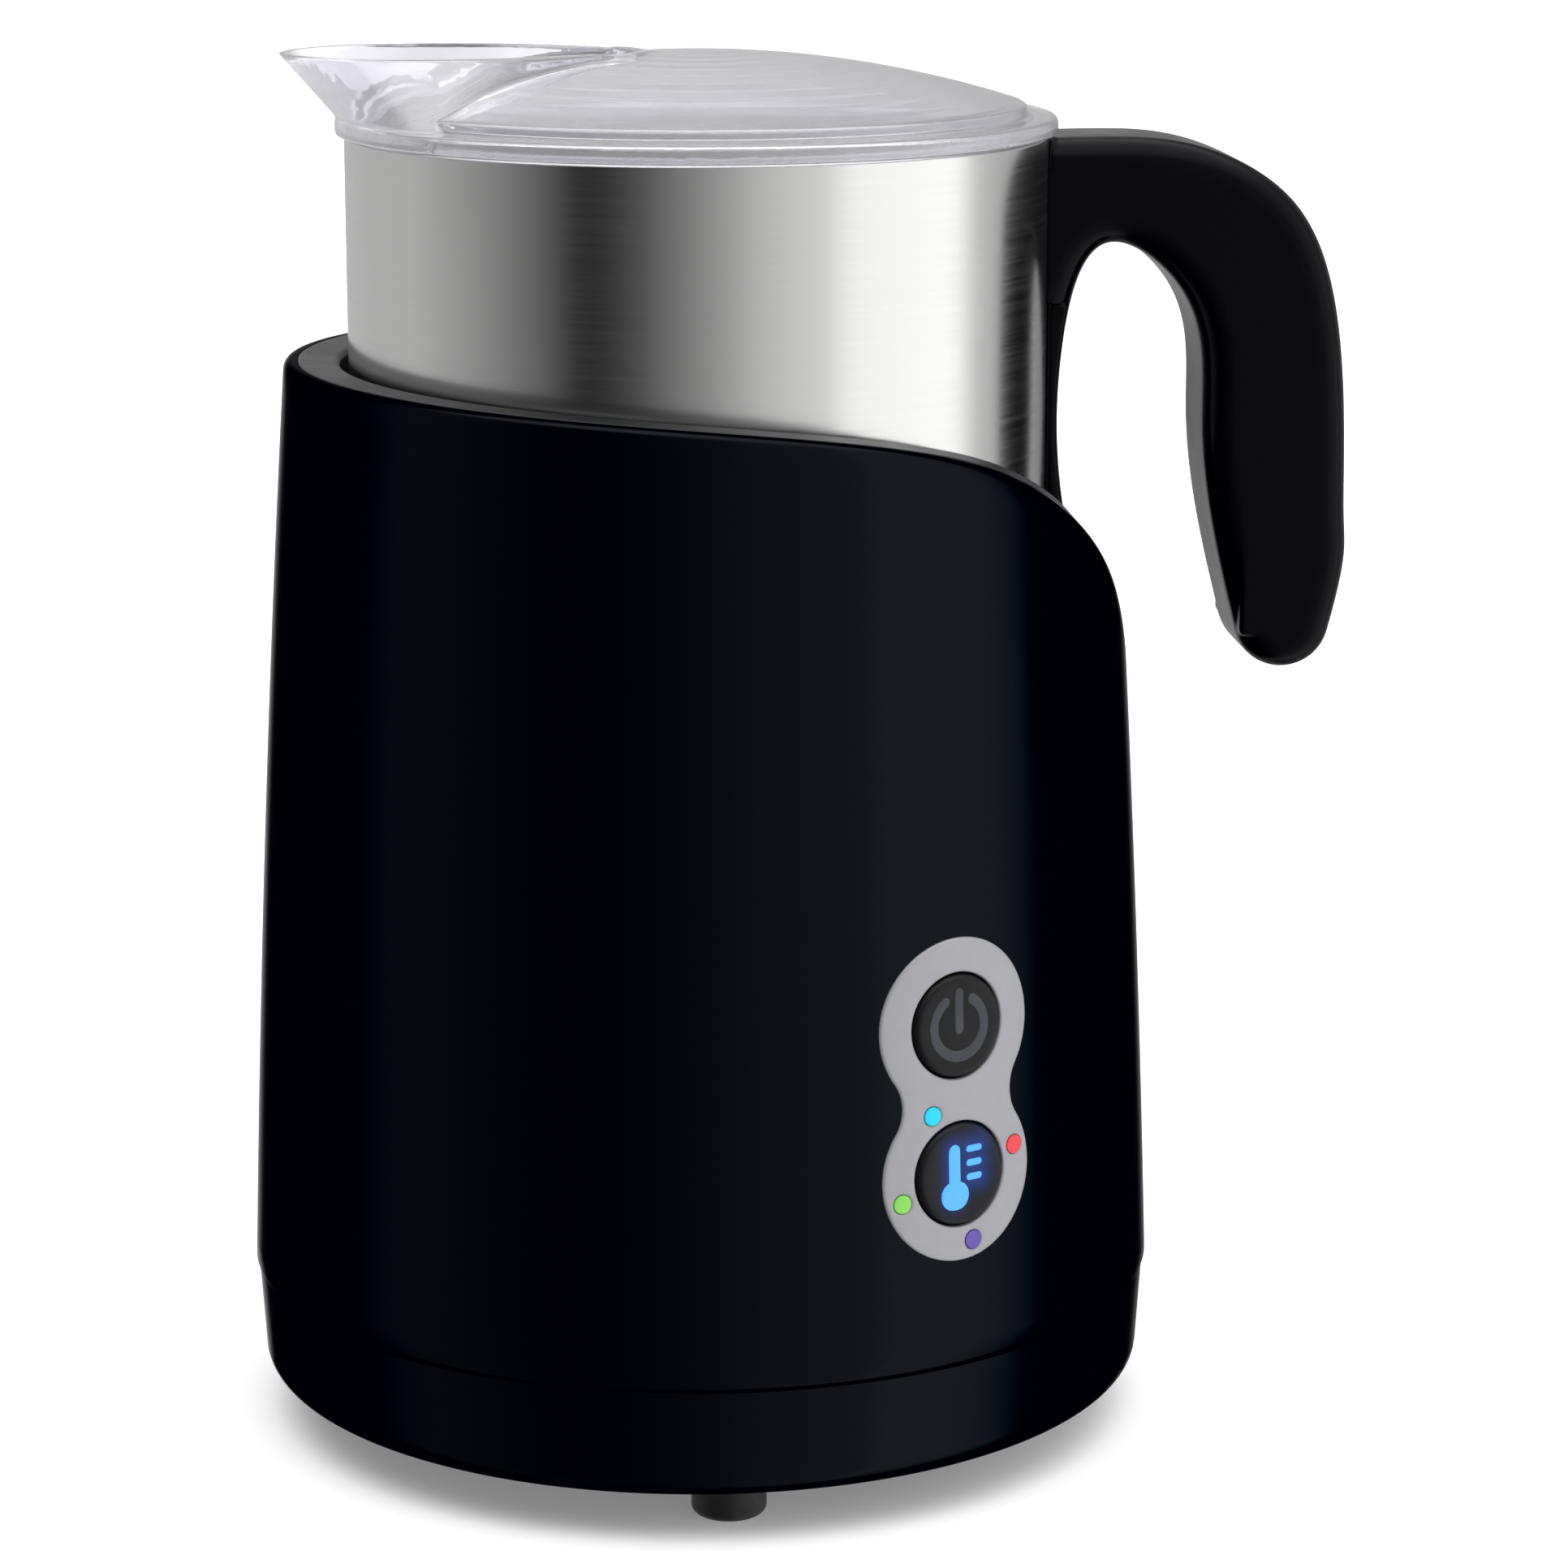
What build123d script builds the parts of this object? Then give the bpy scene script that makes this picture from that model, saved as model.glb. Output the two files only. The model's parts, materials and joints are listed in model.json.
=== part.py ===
from build123d import *
from math import cos, pi, radians, sin, sqrt
import os

# Electric milk frother: a powered base with a well, a steel jug with a hook
# handle, a magnetically driven whisk and a clear lid with a pouring spout.
# Millimetres. Z is up, the handle points along +X, and the origin is the
# centre of the flat pad under the base. The feet reach below it.

# --- shared fits ----------------------------------------------------------
WALL = 2.0                  # moulded shells
RUNNING = 0.08              # radial clearance of turning parts
CLEAR = 0.3                 # clearance between parts that lift or press
SNUG = 0.1                  # clearance of trim let into a recess

# --- jug ------------------------------------------------------------------
JUG_R = 50.0
JUG_WALL = 0.8
JUG_BOTTOM = 74.0
JUG_HEIGHT = 108.0
JUG_FLOOR = 1.0
JUG_EDGE_R = 4.0
PIN_R = 2.0
PIN_HEIGHT = 14.0
PIN_FLANGE = 0.4
WELL_CLEAR = 1.2            # round the jug in the well
JUG_TOP = JUG_BOTTOM + JUG_HEIGHT
JUG_IN = JUG_R - JUG_WALL
WELL_R = JUG_R + WELL_CLEAR
LINER_R = WELL_R + WALL

# --- base -----------------------------------------------------------------
HOUSING_R_TOP = LINER_R + 6.0
HOUSING_R_BOTTOM = HOUSING_R_TOP + 7.0
HOUSING_BULGE = 0.65        # how far the side arc stands off its chord
HOUSING_TOP = JUG_TOP - 32.0    # rim height on the side away from the handle
RIM_DROP = 44.0             # how far the rim falls towards the handle
FLANGE = 2.2                # thickness of the liner's top flange
SEAM_Z = 16.6               # joint between pan and housing
SEAM_GAP = 0.6              # shadow line at the joint
TONGUE = 1.6                # register ring of the pan inside the housing
TONGUE_HEIGHT = 2.0
PAN_R_TOP = HOUSING_R_BOTTOM - 0.4
PAN_R_BOTTOM = PAN_R_TOP - 0.8
PAN_EDGE_R = 3.5            # rounding where the pan turns under
PAD_R = PAN_R_BOTTOM - 25.0     # flat pad under the base
PAD_STEP = 0.6
HOUSING_BOTTOM = SEAM_Z + SEAM_GAP
BARREL_TOP = HOUSING_TOP + 6.0

FEET = 4
FOOT_R = 5.3
FOOT_CIRCLE = PAN_R_BOTTOM - 13.6
FOOT_REACH = 6.0            # feet below the pad
FOOT_EDGE = 1.2
BASE_SCREWS = 4
SCREW_CIRCLE = PAN_R_BOTTOM - 8.5
SCREW_R = 1.5
SCREW_HEAD_R = 2.8
SCREW_HEAD = 2.0
HEAD_RECESS = 5.0           # depth of the screw wells under the pan
BOSS_R = 4.0
BOSS_TOP = 31.0
GLAND_AZIMUTH = 120.0
GLAND_Z = 9.0
GLAND_R = 5.0
GLAND_BORE = 3.2
GLAND_IN = 4.0              # bushing inside the pan's wall
GLAND_COLLAR = 1.2
VENTS = 5
VENT_STEP = 6.0             # degrees between the air slots
VENT_AZIMUTH = 157.5
VENT_LENGTH = 10.0
VENT_WIDTH = 2.2
LINER_PADS = 3
LINER_PAD_R = 3.0

# --- handle ---------------------------------------------------------------
HANDLE_WIDTH = 21.0
HANDLE_EDGE = 4.0           # rounding of its long edges
HANDLE_END_R = 7.0          # rounding of its free end
HANDLE_LEAN = 15.0          # degrees the free end leans in
HANDLE_REACH = JUG_R + 43.4     # outside of the grip from the axis
HANDLE_DEPTH = 21.2         # grip thickness
HANDLE_TOP = JUG_TOP - 0.6
HANDLE_LOW = JUG_TOP - 77.6     # free end of the grip
SPINE_WIDTH = HANDLE_WIDTH - 4.0
SPINE_LOW = JUG_TOP - 70.0
SPINE_FOOT = JUG_R + 6.0    # how far the flared foot of the spine stands out
COVER_WIDTH = HANDLE_WIDTH - 2 * HANDLE_EDGE - 1.4
COVER_DEPTH = 2.4
BRACKET = 1.0               # bracket sheet
TONGUE_REACH = 14.0         # bracket's tongue into the hook
TONGUE_LOW = JUG_TOP - 9.0
KEY_HALF = SPINE_WIDTH / 2 + 2 * CLEAR
KEY_OUT = SPINE_FOOT + 2 * CLEAR
KEY_LOW = SPINE_LOW - 1.5

# --- lid and whisk --------------------------------------------------------
LID_FLANGE_R = JUG_R + 1.3
LID_FLANGE = 2.4
LID_STEP = 1.5              # upright ring between flange and dome
LID_DOME_R = JUG_R - 3.2    # foot radius of the dome
LID_DOME = 7.3              # rise of the dome
LID_WALL = 2.0
LID_SKIRT = 6.0
SKIRT_WALL = 1.6
SEAL_R = 0.8
SEAL_LOW = 4.0              # seal's groove below the flange
SEAL_HIGH = 2.4
SPOUT_TIP = JUG_R + 9.0     # reach of the pouring lip from the axis
SPOUT_APEX = 6.0            # back end of the spout's mouth, from the axis
SPOUT_HALF = 16.5           # half width of the mouth
SPOUT_ROOT = 0.62 * JUG_R   # half width where the spout springs from the flange
SPOUT_WALL = 1.6
WHISK_R = 16.0
WHISK_DISC = 5.0
WHISK_RING = 20.0
WHISK_WIRE = 2.6            # thickness of the sprung ring round the whisk
LID_LOW = JUG_TOP + CLEAR / 2
DOME_FOOT = LID_LOW + LID_FLANGE + LID_STEP
CROWN = DOME_FOOT + LID_DOME
SPHERE = (LID_DOME_R**2 + LID_DOME**2) / (2 * LID_DOME)

# --- controls -------------------------------------------------------------
PANEL_AZIMUTH = -61.0
POWER_Z = 65.2
MODE_Z = 44.3
BUTTON_R = 7.2
BUTTON_LIP = 1.0            # retaining rim behind the wall
LIP_DEPTH = 1.2
BUTTON_PROUD = 0.6
TRAVEL = 0.8
LOBE_R = BUTTON_R + 5.1
WAIST = LOBE_R - 3.2        # half width of the plate between its lobes
PLATE_PROUD = 0.25
PLATE_SINK = 0.6
DOT_R = 1.3
DOT_CIRCLE = BUTTON_R + 2.7
DOTS = {"cyan": 117.0, "red": 14.0, "green": 197.0, "violet": 281.0}
BOARD = 1.6
SWITCH = 6.0                # side of a push switch
PLUNGER = 0.5
PLUNGER_R = 1.7
ICON_DEPTH = 0.5
LED = 1.0
MID_PANEL = (POWER_Z + MODE_Z) / 2

# --- drive and heating ----------------------------------------------------
COIL_INNER = 15.5
COIL_OUTER = JUG_R - 12.0
COIL_HEIGHT = 3.2
COIL_TURNS = 9
COIL_GROOVE = 0.5
CARRIER = 2.4
CARRIER_R = JUG_R
CARRIER_SCREWS = 3
FERRITES = 6
FERRITE = 3.0
FERRITE_WIDTH = 8.0
FERRITE_START = 24.0        # radius where the bars begin
MOTOR_R = 14.0
MOTOR_HEIGHT = 26.0
MOTOR_PLATE_R = 25.0
SHAFT_R = 1.5
SHAFT_IN = 14.0             # shaft inside the motor
ROTOR_R = 12.5
ROTOR_HEIGHT = 8.0
ROTOR_GAP = 1.2
MAGNET_R = 3.0
MAGNET_HEIGHT = 4.0
MAGNETS = 4
MAGNET_CIRCLE = ROTOR_R - 4.5
SENSOR_R = 3.2
SENSOR_WALL = 0.8
SENSOR_CIRCLE = JUG_R - 6.0
SENSOR_TRAVEL = 1.0
SENSOR_AZIMUTH = 200.0
POST = 6.5                  # motor plate hangs this far under the carrier
POST_CIRCLE = 20.0
THREE_START = 30.0          # azimuth of the first of three fastenings
BOARD_Z = 9.0
BOARD_R = JUG_R - 4.0
BOARD_CIRCLE = JUG_R - 12.0
WELL_FLOOR = JUG_BOTTOM - 1.5
LINER_BOTTOM = WELL_FLOOR - WALL
COIL_TOP = LINER_BOTTOM - 0.4
CARRIER_TOP = COIL_TOP - COIL_HEIGHT
CARRIER_LOW = CARRIER_TOP - CARRIER
MOTOR_TOP = CARRIER_LOW - POST - WALL

UP = (Align.CENTER, Align.CENTER, Align.MIN)
FAR = JUG_R + 40.0          # reaches past the whole object


def side_radius(z, offset=0.0):
    """Outer radius of the housing at a height."""
    t = (z - HOUSING_BOTTOM) / (HOUSING_TOP - HOUSING_BOTTOM)
    chord = HOUSING_R_BOTTOM + (HOUSING_R_TOP - HOUSING_R_BOTTOM) * t
    return chord + 4 * HOUSING_BULGE * t * (1 - t) + offset


def disc(radius, low, high):
    return Pos(0, 0, low) * Cylinder(radius, high - low, align=UP)


def tube(outer, inner, low, high):
    return disc(outer, low, high) - disc(inner, low, high)


def block(x0, x1, half_y, z0, z1):
    return Pos((x0 + x1) / 2, 0, z0) * Box(x1 - x0, 2 * half_y, z1 - z0, align=UP)


def ring_of(piece, count, radius, start=0.0, step=None):
    """Copies of a piece round the Z axis, as separate solids."""
    turn = step or 360 / count
    return Part() + [Rot(0, 0, start + i * turn) * Pos(radius, 0, 0) * piece for i in range(count)]


def spin(*lines):
    """Solid of revolution from an outline drawn in X and Z."""
    return revolve(Plane.XZ * make_face(list(lines)), Axis.Z)


def facing(azimuth, radius=0.0):
    """Upright plane across a direction: X along the wall, Y up, Z outwards."""
    a = radians(azimuth)
    out = Vector(cos(a), sin(a), 0)
    return Plane(origin=out * radius, x_dir=(-sin(a), cos(a), 0), z_dir=out)


def barrel(offset):
    """The housing's outer form, grown or shrunk by an offset."""
    low, high = HOUSING_BOTTOM, BARREL_TOP
    middle = (low + high) / 2
    side = ThreePointArc(
        (side_radius(low, offset), low),
        (side_radius(middle, offset), middle),
        (side_radius(high, offset), high),
    )
    rest = Polyline((side_radius(high, offset), high), (0, high), (0, low), (side_radius(low, offset), low))
    return spin(side, rest)


def rim_curve(drop=0.0):
    """Side view of the rim: nearly level, then falling away to the handle."""
    top = HOUSING_TOP - drop
    reach = HOUSING_R_TOP + 2.6
    shape = ((-0.485, 0.018), (0, 0.059), (0.356, 0.125), (0.615, 0.236), (0.817, 0.443), (0.947, 0.727), (1, 1))
    middle = [(share * reach, top - fall * RIM_DROP) for share, fall in shape]
    return Spline((-FAR, top + 1.0), *middle, (FAR, top - 2 * RIM_DROP))


def above_rim(drop=0.0):
    edge = rim_curve(drop)
    rest = Polyline(edge @ 1, (FAR, FAR * 3), (-FAR, FAR * 3), edge @ 0)
    return extrude(Plane.XZ * make_face([edge, rest]), FAR, both=True)


def screw(length):
    """Pan-head screw: head down at z=0, shank up, with a cross recess."""
    head = Cylinder(SCREW_HEAD_R, SCREW_HEAD, align=UP)
    head = fillet(head.edges().sort_by(Axis.Z)[0], SCREW_HEAD / 3)
    slot = Box(0.8, SCREW_HEAD_R * 1.2, SCREW_HEAD, align=UP)
    head -= Pos(0, 0, -SCREW_HEAD / 2) * (slot + Rot(0, 0, 90) * slot)
    return head + Pos(0, 0, SCREW_HEAD) * Cylinder(SCREW_R, length, align=UP)


# --- base shells -----------------------------------------------------------
def outer_housing():
    shell = barrel(0) - barrel(-WALL) - above_rim()
    shell -= panel_prism(figure_eight(SNUG)) - barrel(-PLATE_SINK)
    for z in (POWER_Z, MODE_Z):
        shell -= panel_prism(Pos(0, z) * Circle(BUTTON_R + CLEAR))
    for angle in DOTS.values():
        shell -= panel_prism(dot_place(angle) * Circle(DOT_R + SNUG))
    boss = disc(BOSS_R, HOUSING_BOTTOM, BOSS_TOP)
    boss += block(0, 3 * BOSS_R, 1.0, HOUSING_BOTTOM + TONGUE_HEIGHT + CLEAR, BOSS_TOP)
    boss -= disc(SCREW_R, HOUSING_BOTTOM, BOSS_TOP - 1)
    posts = Part() + [panel_prism(Pos(0, z) * Circle(BOSS_R - 1), board_front()) for z in board_ends()]
    for z in board_ends():
        posts -= panel_prism(Pos(0, z) * Circle(SCREW_R), board_front(), BOSS_R)
    return shell + ((base_ring(boss) + posts) & barrel(-WALL / 2))


def carrier_ring(piece):
    return ring_of(piece, CARRIER_SCREWS, CARRIER_R - BOSS_R, THREE_START)


def base_ring(piece):
    return ring_of(piece, BASE_SCREWS, SCREW_CIRCLE, 180 / BASE_SCREWS)


def board_ring(piece):
    return ring_of(piece, FEET, BOARD_CIRCLE, 90 / FEET)


def motor_ring(piece):
    return ring_of(piece, 3, POST_CIRCLE, THREE_START)


def well_liner():
    cup = disc(LINER_R, LINER_BOTTOM, BARREL_TOP)
    cup += block(0, KEY_OUT + WALL, KEY_HALF + WALL, KEY_LOW - WALL, BARREL_TOP)
    flange = disc(FAR, HOUSING_TOP - 2 * RIM_DROP, BARREL_TOP) - above_rim(FLANGE)
    flange = disc(FAR, HOUSING_TOP - 2 * RIM_DROP, BARREL_TOP) - flange
    cup = (cup + flange) & barrel(-WALL)
    cup -= disc(WELL_R, WELL_FLOOR, BARREL_TOP)
    cup -= block(0, KEY_OUT, KEY_HALF, KEY_LOW, BARREL_TOP)
    cup -= above_rim()
    pad = disc(LINER_PAD_R, LINER_BOTTOM, JUG_BOTTOM - CLEAR)
    cup += ring_of(pad, LINER_PADS, JUG_R * 0.7, 2 * THREE_START)
    boss = disc(BOSS_R - 0.5, CARRIER_TOP, LINER_BOTTOM + 0.5)
    cup += carrier_ring(boss)
    cup -= carrier_ring(disc(SCREW_R, CARRIER_TOP, LINER_BOTTOM - 0.5))
    return cup - sensor_place() * disc(SENSOR_R + CLEAR, LINER_BOTTOM, WELL_FLOOR)


def base_pan():
    corner = PAN_EDGE_R
    edge = ThreePointArc(
        (PAN_R_BOTTOM - corner, PAD_STEP),
        (PAN_R_BOTTOM - corner * (1 - sin(pi / 4)), PAD_STEP + corner * (1 - cos(pi / 4))),
        (PAN_R_BOTTOM, PAD_STEP + corner),
    )
    rest = Polyline(
        (PAN_R_BOTTOM, PAD_STEP + corner),
        (PAN_R_TOP, SEAM_Z),
        (0, SEAM_Z),
        (0, PAD_STEP),
        (PAN_R_BOTTOM - corner, PAD_STEP),
    )
    pan = spin(edge, rest)
    pan -= disc(PAN_R_BOTTOM - WALL, PAD_STEP + WALL, SEAM_Z)
    pan += disc(PAD_R, 0, PAD_STEP + WALL)
    lip = HOUSING_R_BOTTOM - WALL - SNUG
    pan += tube(lip, lip - TONGUE, PAD_STEP + WALL, HOUSING_BOTTOM + TONGUE_HEIGHT)
    column = disc(BOSS_R + 1, PAD_STEP, HOUSING_BOTTOM)
    recess = disc(SCREW_HEAD_R + CLEAR, PAD_STEP, PAD_STEP + HEAD_RECESS)
    recess += disc(SCREW_R + SNUG, PAD_STEP, HOUSING_BOTTOM)
    pan += base_ring(column)
    pan -= base_ring(recess)
    pan += board_ring(disc(BOSS_R, PAD_STEP + 1, BOARD_Z))
    pan -= board_ring(disc(SCREW_R, PAD_STEP + WALL, BOARD_Z))
    pan -= ring_of(disc(FOOT_R / 2, PAD_STEP, PAD_STEP + WALL), FEET, FOOT_CIRCLE)
    slot = Box(VENT_LENGTH, VENT_WIDTH, PAD_STEP + WALL, align=UP)
    middle = VENT_STEP * (VENTS - 1) / 2
    pan -= ring_of(slot, VENTS, FOOT_CIRCLE + 4, VENT_AZIMUTH - middle, VENT_STEP)
    return pan - gland_place() * Cylinder(GLAND_R, 3 * GLAND_IN)


def rubber_feet():
    foot = Pos(0, 0, -FOOT_REACH) * Cylinder(FOOT_R, FOOT_REACH + PAD_STEP, align=UP)
    foot = fillet(foot.edges().sort_by(Axis.Z)[0], FOOT_EDGE)
    plug = disc(FOOT_R / 2, PAD_STEP, PAD_STEP + WALL + 0.5)
    return ring_of(foot + plug, FEET, FOOT_CIRCLE)


def base_screws():
    seat = PAD_STEP + HEAD_RECESS
    return base_ring(Pos(0, 0, seat - SCREW_HEAD) * screw(BOSS_TOP - seat - 3))


def gland_place():
    return facing(GLAND_AZIMUTH) * Pos(0, GLAND_Z, PAN_R_TOP - WALL)


def cord_inlet():
    """Bushing in the pan's wall where the supply lead would enter."""
    face = WALL + SNUG * 2
    sleeve = disc(GLAND_R, -GLAND_IN, face)
    body = sleeve + disc(GLAND_R + GLAND_COLLAR, face, face + GLAND_COLLAR)
    body = fillet(body.edges().sort_by(Axis.Z)[-1], GLAND_COLLAR * 0.4)
    return gland_place() * (body - disc(GLAND_BORE, -GLAND_IN, face + GLAND_COLLAR))


# --- control panel -----------------------------------------------------------
def panel_frame(radius=0.0):
    return facing(PANEL_AZIMUTH, radius)


def panel_prism(face, start=None, length=None):
    """A flat outline of the panel pushed outwards through the wall."""
    start = JUG_R if start is None else start
    return extrude(panel_frame(start) * face, length or FAR - start)


def figure_eight(grow=0.0):
    lobe = LOBE_R + grow
    half = (POWER_Z - MODE_Z) / 2
    waist = WAIST + grow
    neck = (waist**2 + half**2 - lobe**2) / (2 * (lobe - waist))
    share = lobe / (lobe + neck)
    body = Pos(0, POWER_Z) * Circle(lobe) + Pos(0, MODE_Z) * Circle(lobe)
    body += Pos(0, MID_PANEL) * Rectangle(2 * (waist + neck) * share, 2 * half * (1 - share))
    for side in (-1, 1):
        body -= Pos(side * (waist + neck), MID_PANEL) * Circle(neck)
    return body


def dot_place(angle):
    return Pos(DOT_CIRCLE * cos(radians(angle)), MODE_Z + DOT_CIRCLE * sin(radians(angle)))


def skin(outer, inner):
    return barrel(outer) - barrel(inner)


def bezel_plate():
    plate = figure_eight()
    for z in (POWER_Z, MODE_Z):
        plate -= Pos(0, z) * Circle(BUTTON_R + CLEAR)
    for angle in DOTS.values():
        plate -= dot_place(angle) * Circle(DOT_R + SNUG / 2)
    return panel_prism(plate) & skin(PLATE_PROUD, -PLATE_SINK)


def lip_front():
    """Distance of the button's retaining rim, clear of the curved wall."""
    wall = side_radius(POWER_Z) - WALL
    reach = BUTTON_R + BUTTON_LIP
    lean = (side_radius(MODE_Z) - side_radius(POWER_Z)) / (POWER_Z - MODE_Z) * reach
    return sqrt(wall**2 - reach**2) - lean - CLEAR


def board_front():
    """Front face of the button board; its screw heads clear the well."""
    return LINER_R + CLEAR + SCREW_HEAD + BOARD


def switch_height():
    """What the pressed button leaves between its rim and the board."""
    return lip_front() - LIP_DEPTH - TRAVEL - CLEAR - PLUNGER - board_front()


def board_ends():
    return (MODE_Z - LOBE_R - 5, POWER_Z + LOBE_R + 5)


def button_blank(z):
    cap = panel_prism(Pos(0, z) * Circle(BUTTON_R), lip_front()) & barrel(BUTTON_PROUD)
    rim = panel_prism(Pos(0, z) * Circle(BUTTON_R + BUTTON_LIP), lip_front() - LIP_DEPTH, LIP_DEPTH)
    return cap + rim


def power_mark():
    mark = Circle(4.8) - Circle(3.6) - Pos(0, 4.2) * Rectangle(4.2, 6)
    mark += [Rot(0, 0, a) * Pos(0, 4.2) * Circle(0.6) for a in (32, -32)]
    return mark + Pos(0, 1.7) * SlotOverall(6.2, 1.3, rotation=90)


def mode_mark():
    """Thermometer with three ticks beside it."""
    mark = Pos(-1.2, -2.6) * Circle(2.1) + Pos(-1.2, 0.6) * SlotOverall(7.6, 2.0, rotation=90)
    ticks = [Pos(2.1, y) * SlotOverall(2.6, 0.9) for y in (3.4, 1.4, -0.6)]
    return mark + ticks


def icon(z, mark):
    return panel_prism(Pos(0, z) * mark) & skin(BUTTON_PROUD + 0.05, BUTTON_PROUD - ICON_DEPTH)


def indicator(angle):
    rod = panel_prism(dot_place(angle) * Circle(DOT_R), board_front() + LED + CLEAR)
    return rod & barrel(PLATE_PROUD + 0.1)


def button_board():
    low, high = board_ends()
    face = Pos(0, MID_PANEL) * RectangleRounded(2 * (BOSS_R + 5), high - low + 2 * BOSS_R, 2)
    for z in board_ends():
        face -= Pos(0, z) * Circle(SCREW_R)
    return panel_prism(face, board_front() - BOARD, BOARD)


def button_switches():
    body = extrude(Rectangle(SWITCH, SWITCH), switch_height())
    body += Pos(0, 0, switch_height()) * Cylinder(PLUNGER_R, PLUNGER, align=UP)
    return Part() + [panel_frame(board_front()) * Pos(0, z, 0) * body for z in (POWER_Z, MODE_Z)]


def indicator_leds():
    chip = Box(2.0, 1.6, LED, align=UP)
    return Part() + [panel_frame(board_front()) * dot_place(a) * chip for a in DOTS.values()]


def button_board_screws():
    place = panel_frame(board_front() - BOARD - SCREW_HEAD)
    return Part() + [place * Pos(0, z, 0) * screw(BOARD + BOSS_R - 0.5) for z in board_ends()]


# --- drive and heating -----------------------------------------------------
def power_board():
    board = disc(BOARD_R, BOARD_Z, BOARD_Z + BOARD)
    return board - board_ring(disc(SCREW_R + SNUG, BOARD_Z, BOARD_Z + BOARD))


def board_parts():
    """Capacitors, choke, relay and the power switch with its cooler."""
    top = BOARD_Z + BOARD
    caps = [Pos(x, -22, top) * Cylinder(6, 14, align=UP) for x in (-14, 2)]
    choke = Pos(-22, 12, top) * (Cylinder(10, 8, align=UP) - Cylinder(4.5, 8, align=UP))
    relay = Pos(8, 22, top) * Box(20, 13, 12, align=UP)
    cooler = Pos(24, -4, top) * Box(4, 24, 14, align=UP)
    fins = [Pos(28, y, top) * Box(6, 1.4, 14, align=UP) for y in (-15, -10, -4, 2, 7)]
    return Part() + caps + [choke, relay, cooler + fins]


def board_screws():
    piece = Pos(0, 0, BOARD_Z + BOARD + SCREW_HEAD) * Rot(180, 0, 0) * screw(5)
    return board_ring(piece)


def induction_coil():
    pitch = (COIL_OUTER - COIL_INNER) / COIL_TURNS
    coil = tube(COIL_OUTER, COIL_INNER, CARRIER_TOP, COIL_TOP)
    for i in range(1, COIL_TURNS):
        radius = COIL_INNER + i * pitch
        coil -= tube(radius + COIL_GROOVE / 2, radius - COIL_GROOVE / 2, COIL_TOP - 2 * COIL_GROOVE, COIL_TOP)
    return coil


def coil_carrier():
    plate = tube(CARRIER_R, ROTOR_R + 1.5, CARRIER_LOW, CARRIER_TOP)
    plate += tube(COIL_OUTER + 1.8, COIL_OUTER + 0.2, CARRIER_LOW, COIL_TOP - 0.6)
    plate -= carrier_ring(disc(SCREW_R + SNUG, CARRIER_LOW, CARRIER_TOP))
    plate += motor_ring(disc(BOSS_R - 1, CARRIER_LOW - POST, CARRIER_LOW))
    plate -= motor_ring(disc(SCREW_R - 0.5, CARRIER_LOW - POST, CARRIER_LOW))
    return plate - sensor_place() * disc(SENSOR_R - 1.5, CARRIER_LOW, CARRIER_TOP)


def ferrite_bars():
    bar = Pos(0, 0, CARRIER_LOW - FERRITE) * Box(COIL_OUTER - FERRITE_START, FERRITE_WIDTH, FERRITE, align=UP)
    return ring_of(bar, FERRITES, (COIL_OUTER + FERRITE_START) / 2 + 1)


def carrier_screws():
    piece = Pos(0, 0, CARRIER_LOW - SCREW_HEAD) * screw(CARRIER + 3)
    return carrier_ring(piece)


def motor_mount():
    plate = tube(MOTOR_PLATE_R, SHAFT_R + 2, MOTOR_TOP, MOTOR_TOP + WALL)
    return plate - motor_ring(disc(SCREW_R - 0.5 + SNUG, MOTOR_TOP, MOTOR_TOP + WALL))


def motor_can():
    can = disc(MOTOR_R, MOTOR_TOP - MOTOR_HEIGHT, MOTOR_TOP)
    can = fillet(can.edges().sort_by(Axis.Z)[0], 2)
    can += disc(SHAFT_R + 2 - SNUG, MOTOR_TOP, MOTOR_TOP + WALL)
    return can - disc(SHAFT_R + RUNNING, MOTOR_TOP - SHAFT_IN - 1, MOTOR_TOP + WALL)


def motor_screws():
    thin = Cylinder(SCREW_R - 0.5, POST + WALL - 1, align=UP)
    head = Pos(0, 0, -SCREW_HEAD) * Cylinder(SCREW_HEAD_R, SCREW_HEAD, align=UP)
    return motor_ring(Pos(0, 0, MOTOR_TOP) * (head + thin))


def motor_shaft():
    return disc(SHAFT_R, MOTOR_TOP - SHAFT_IN, rotor_low() + ROTOR_HEIGHT - 2)


def rotor_low():
    return LINER_BOTTOM - ROTOR_GAP - ROTOR_HEIGHT


def drive_rotor():
    low = rotor_low()
    body = disc(ROTOR_R, low, low + ROTOR_HEIGHT)
    body -= tube(ROTOR_R - 1.5, SHAFT_R + 2, low, low + 3)
    body -= disc(SHAFT_R, low, low + ROTOR_HEIGHT - 2)
    return body - rotor_magnets()


def rotor_magnets():
    top = rotor_low() + ROTOR_HEIGHT
    return ring_of(disc(MAGNET_R, top - MAGNET_HEIGHT, top), MAGNETS, MAGNET_CIRCLE)


def sensor_place():
    return Rot(0, 0, SENSOR_AZIMUTH) * Pos(SENSOR_CIRCLE, 0, 0)


def sensor_cap():
    """Sprung temperature sensor that touches the jug's bottom."""
    low = LINER_BOTTOM - 1.5
    cap = disc(SENSOR_R, low, JUG_BOTTOM - CLEAR)
    cap = fillet(cap.edges().sort_by(Axis.Z)[-1], 0.8)
    cap += disc(SENSOR_R + 1, low, LINER_BOTTOM - CLEAR)
    return sensor_place() * (cap - disc(SENSOR_R - SENSOR_WALL, low, JUG_BOTTOM - CLEAR - SENSOR_WALL))


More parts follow.
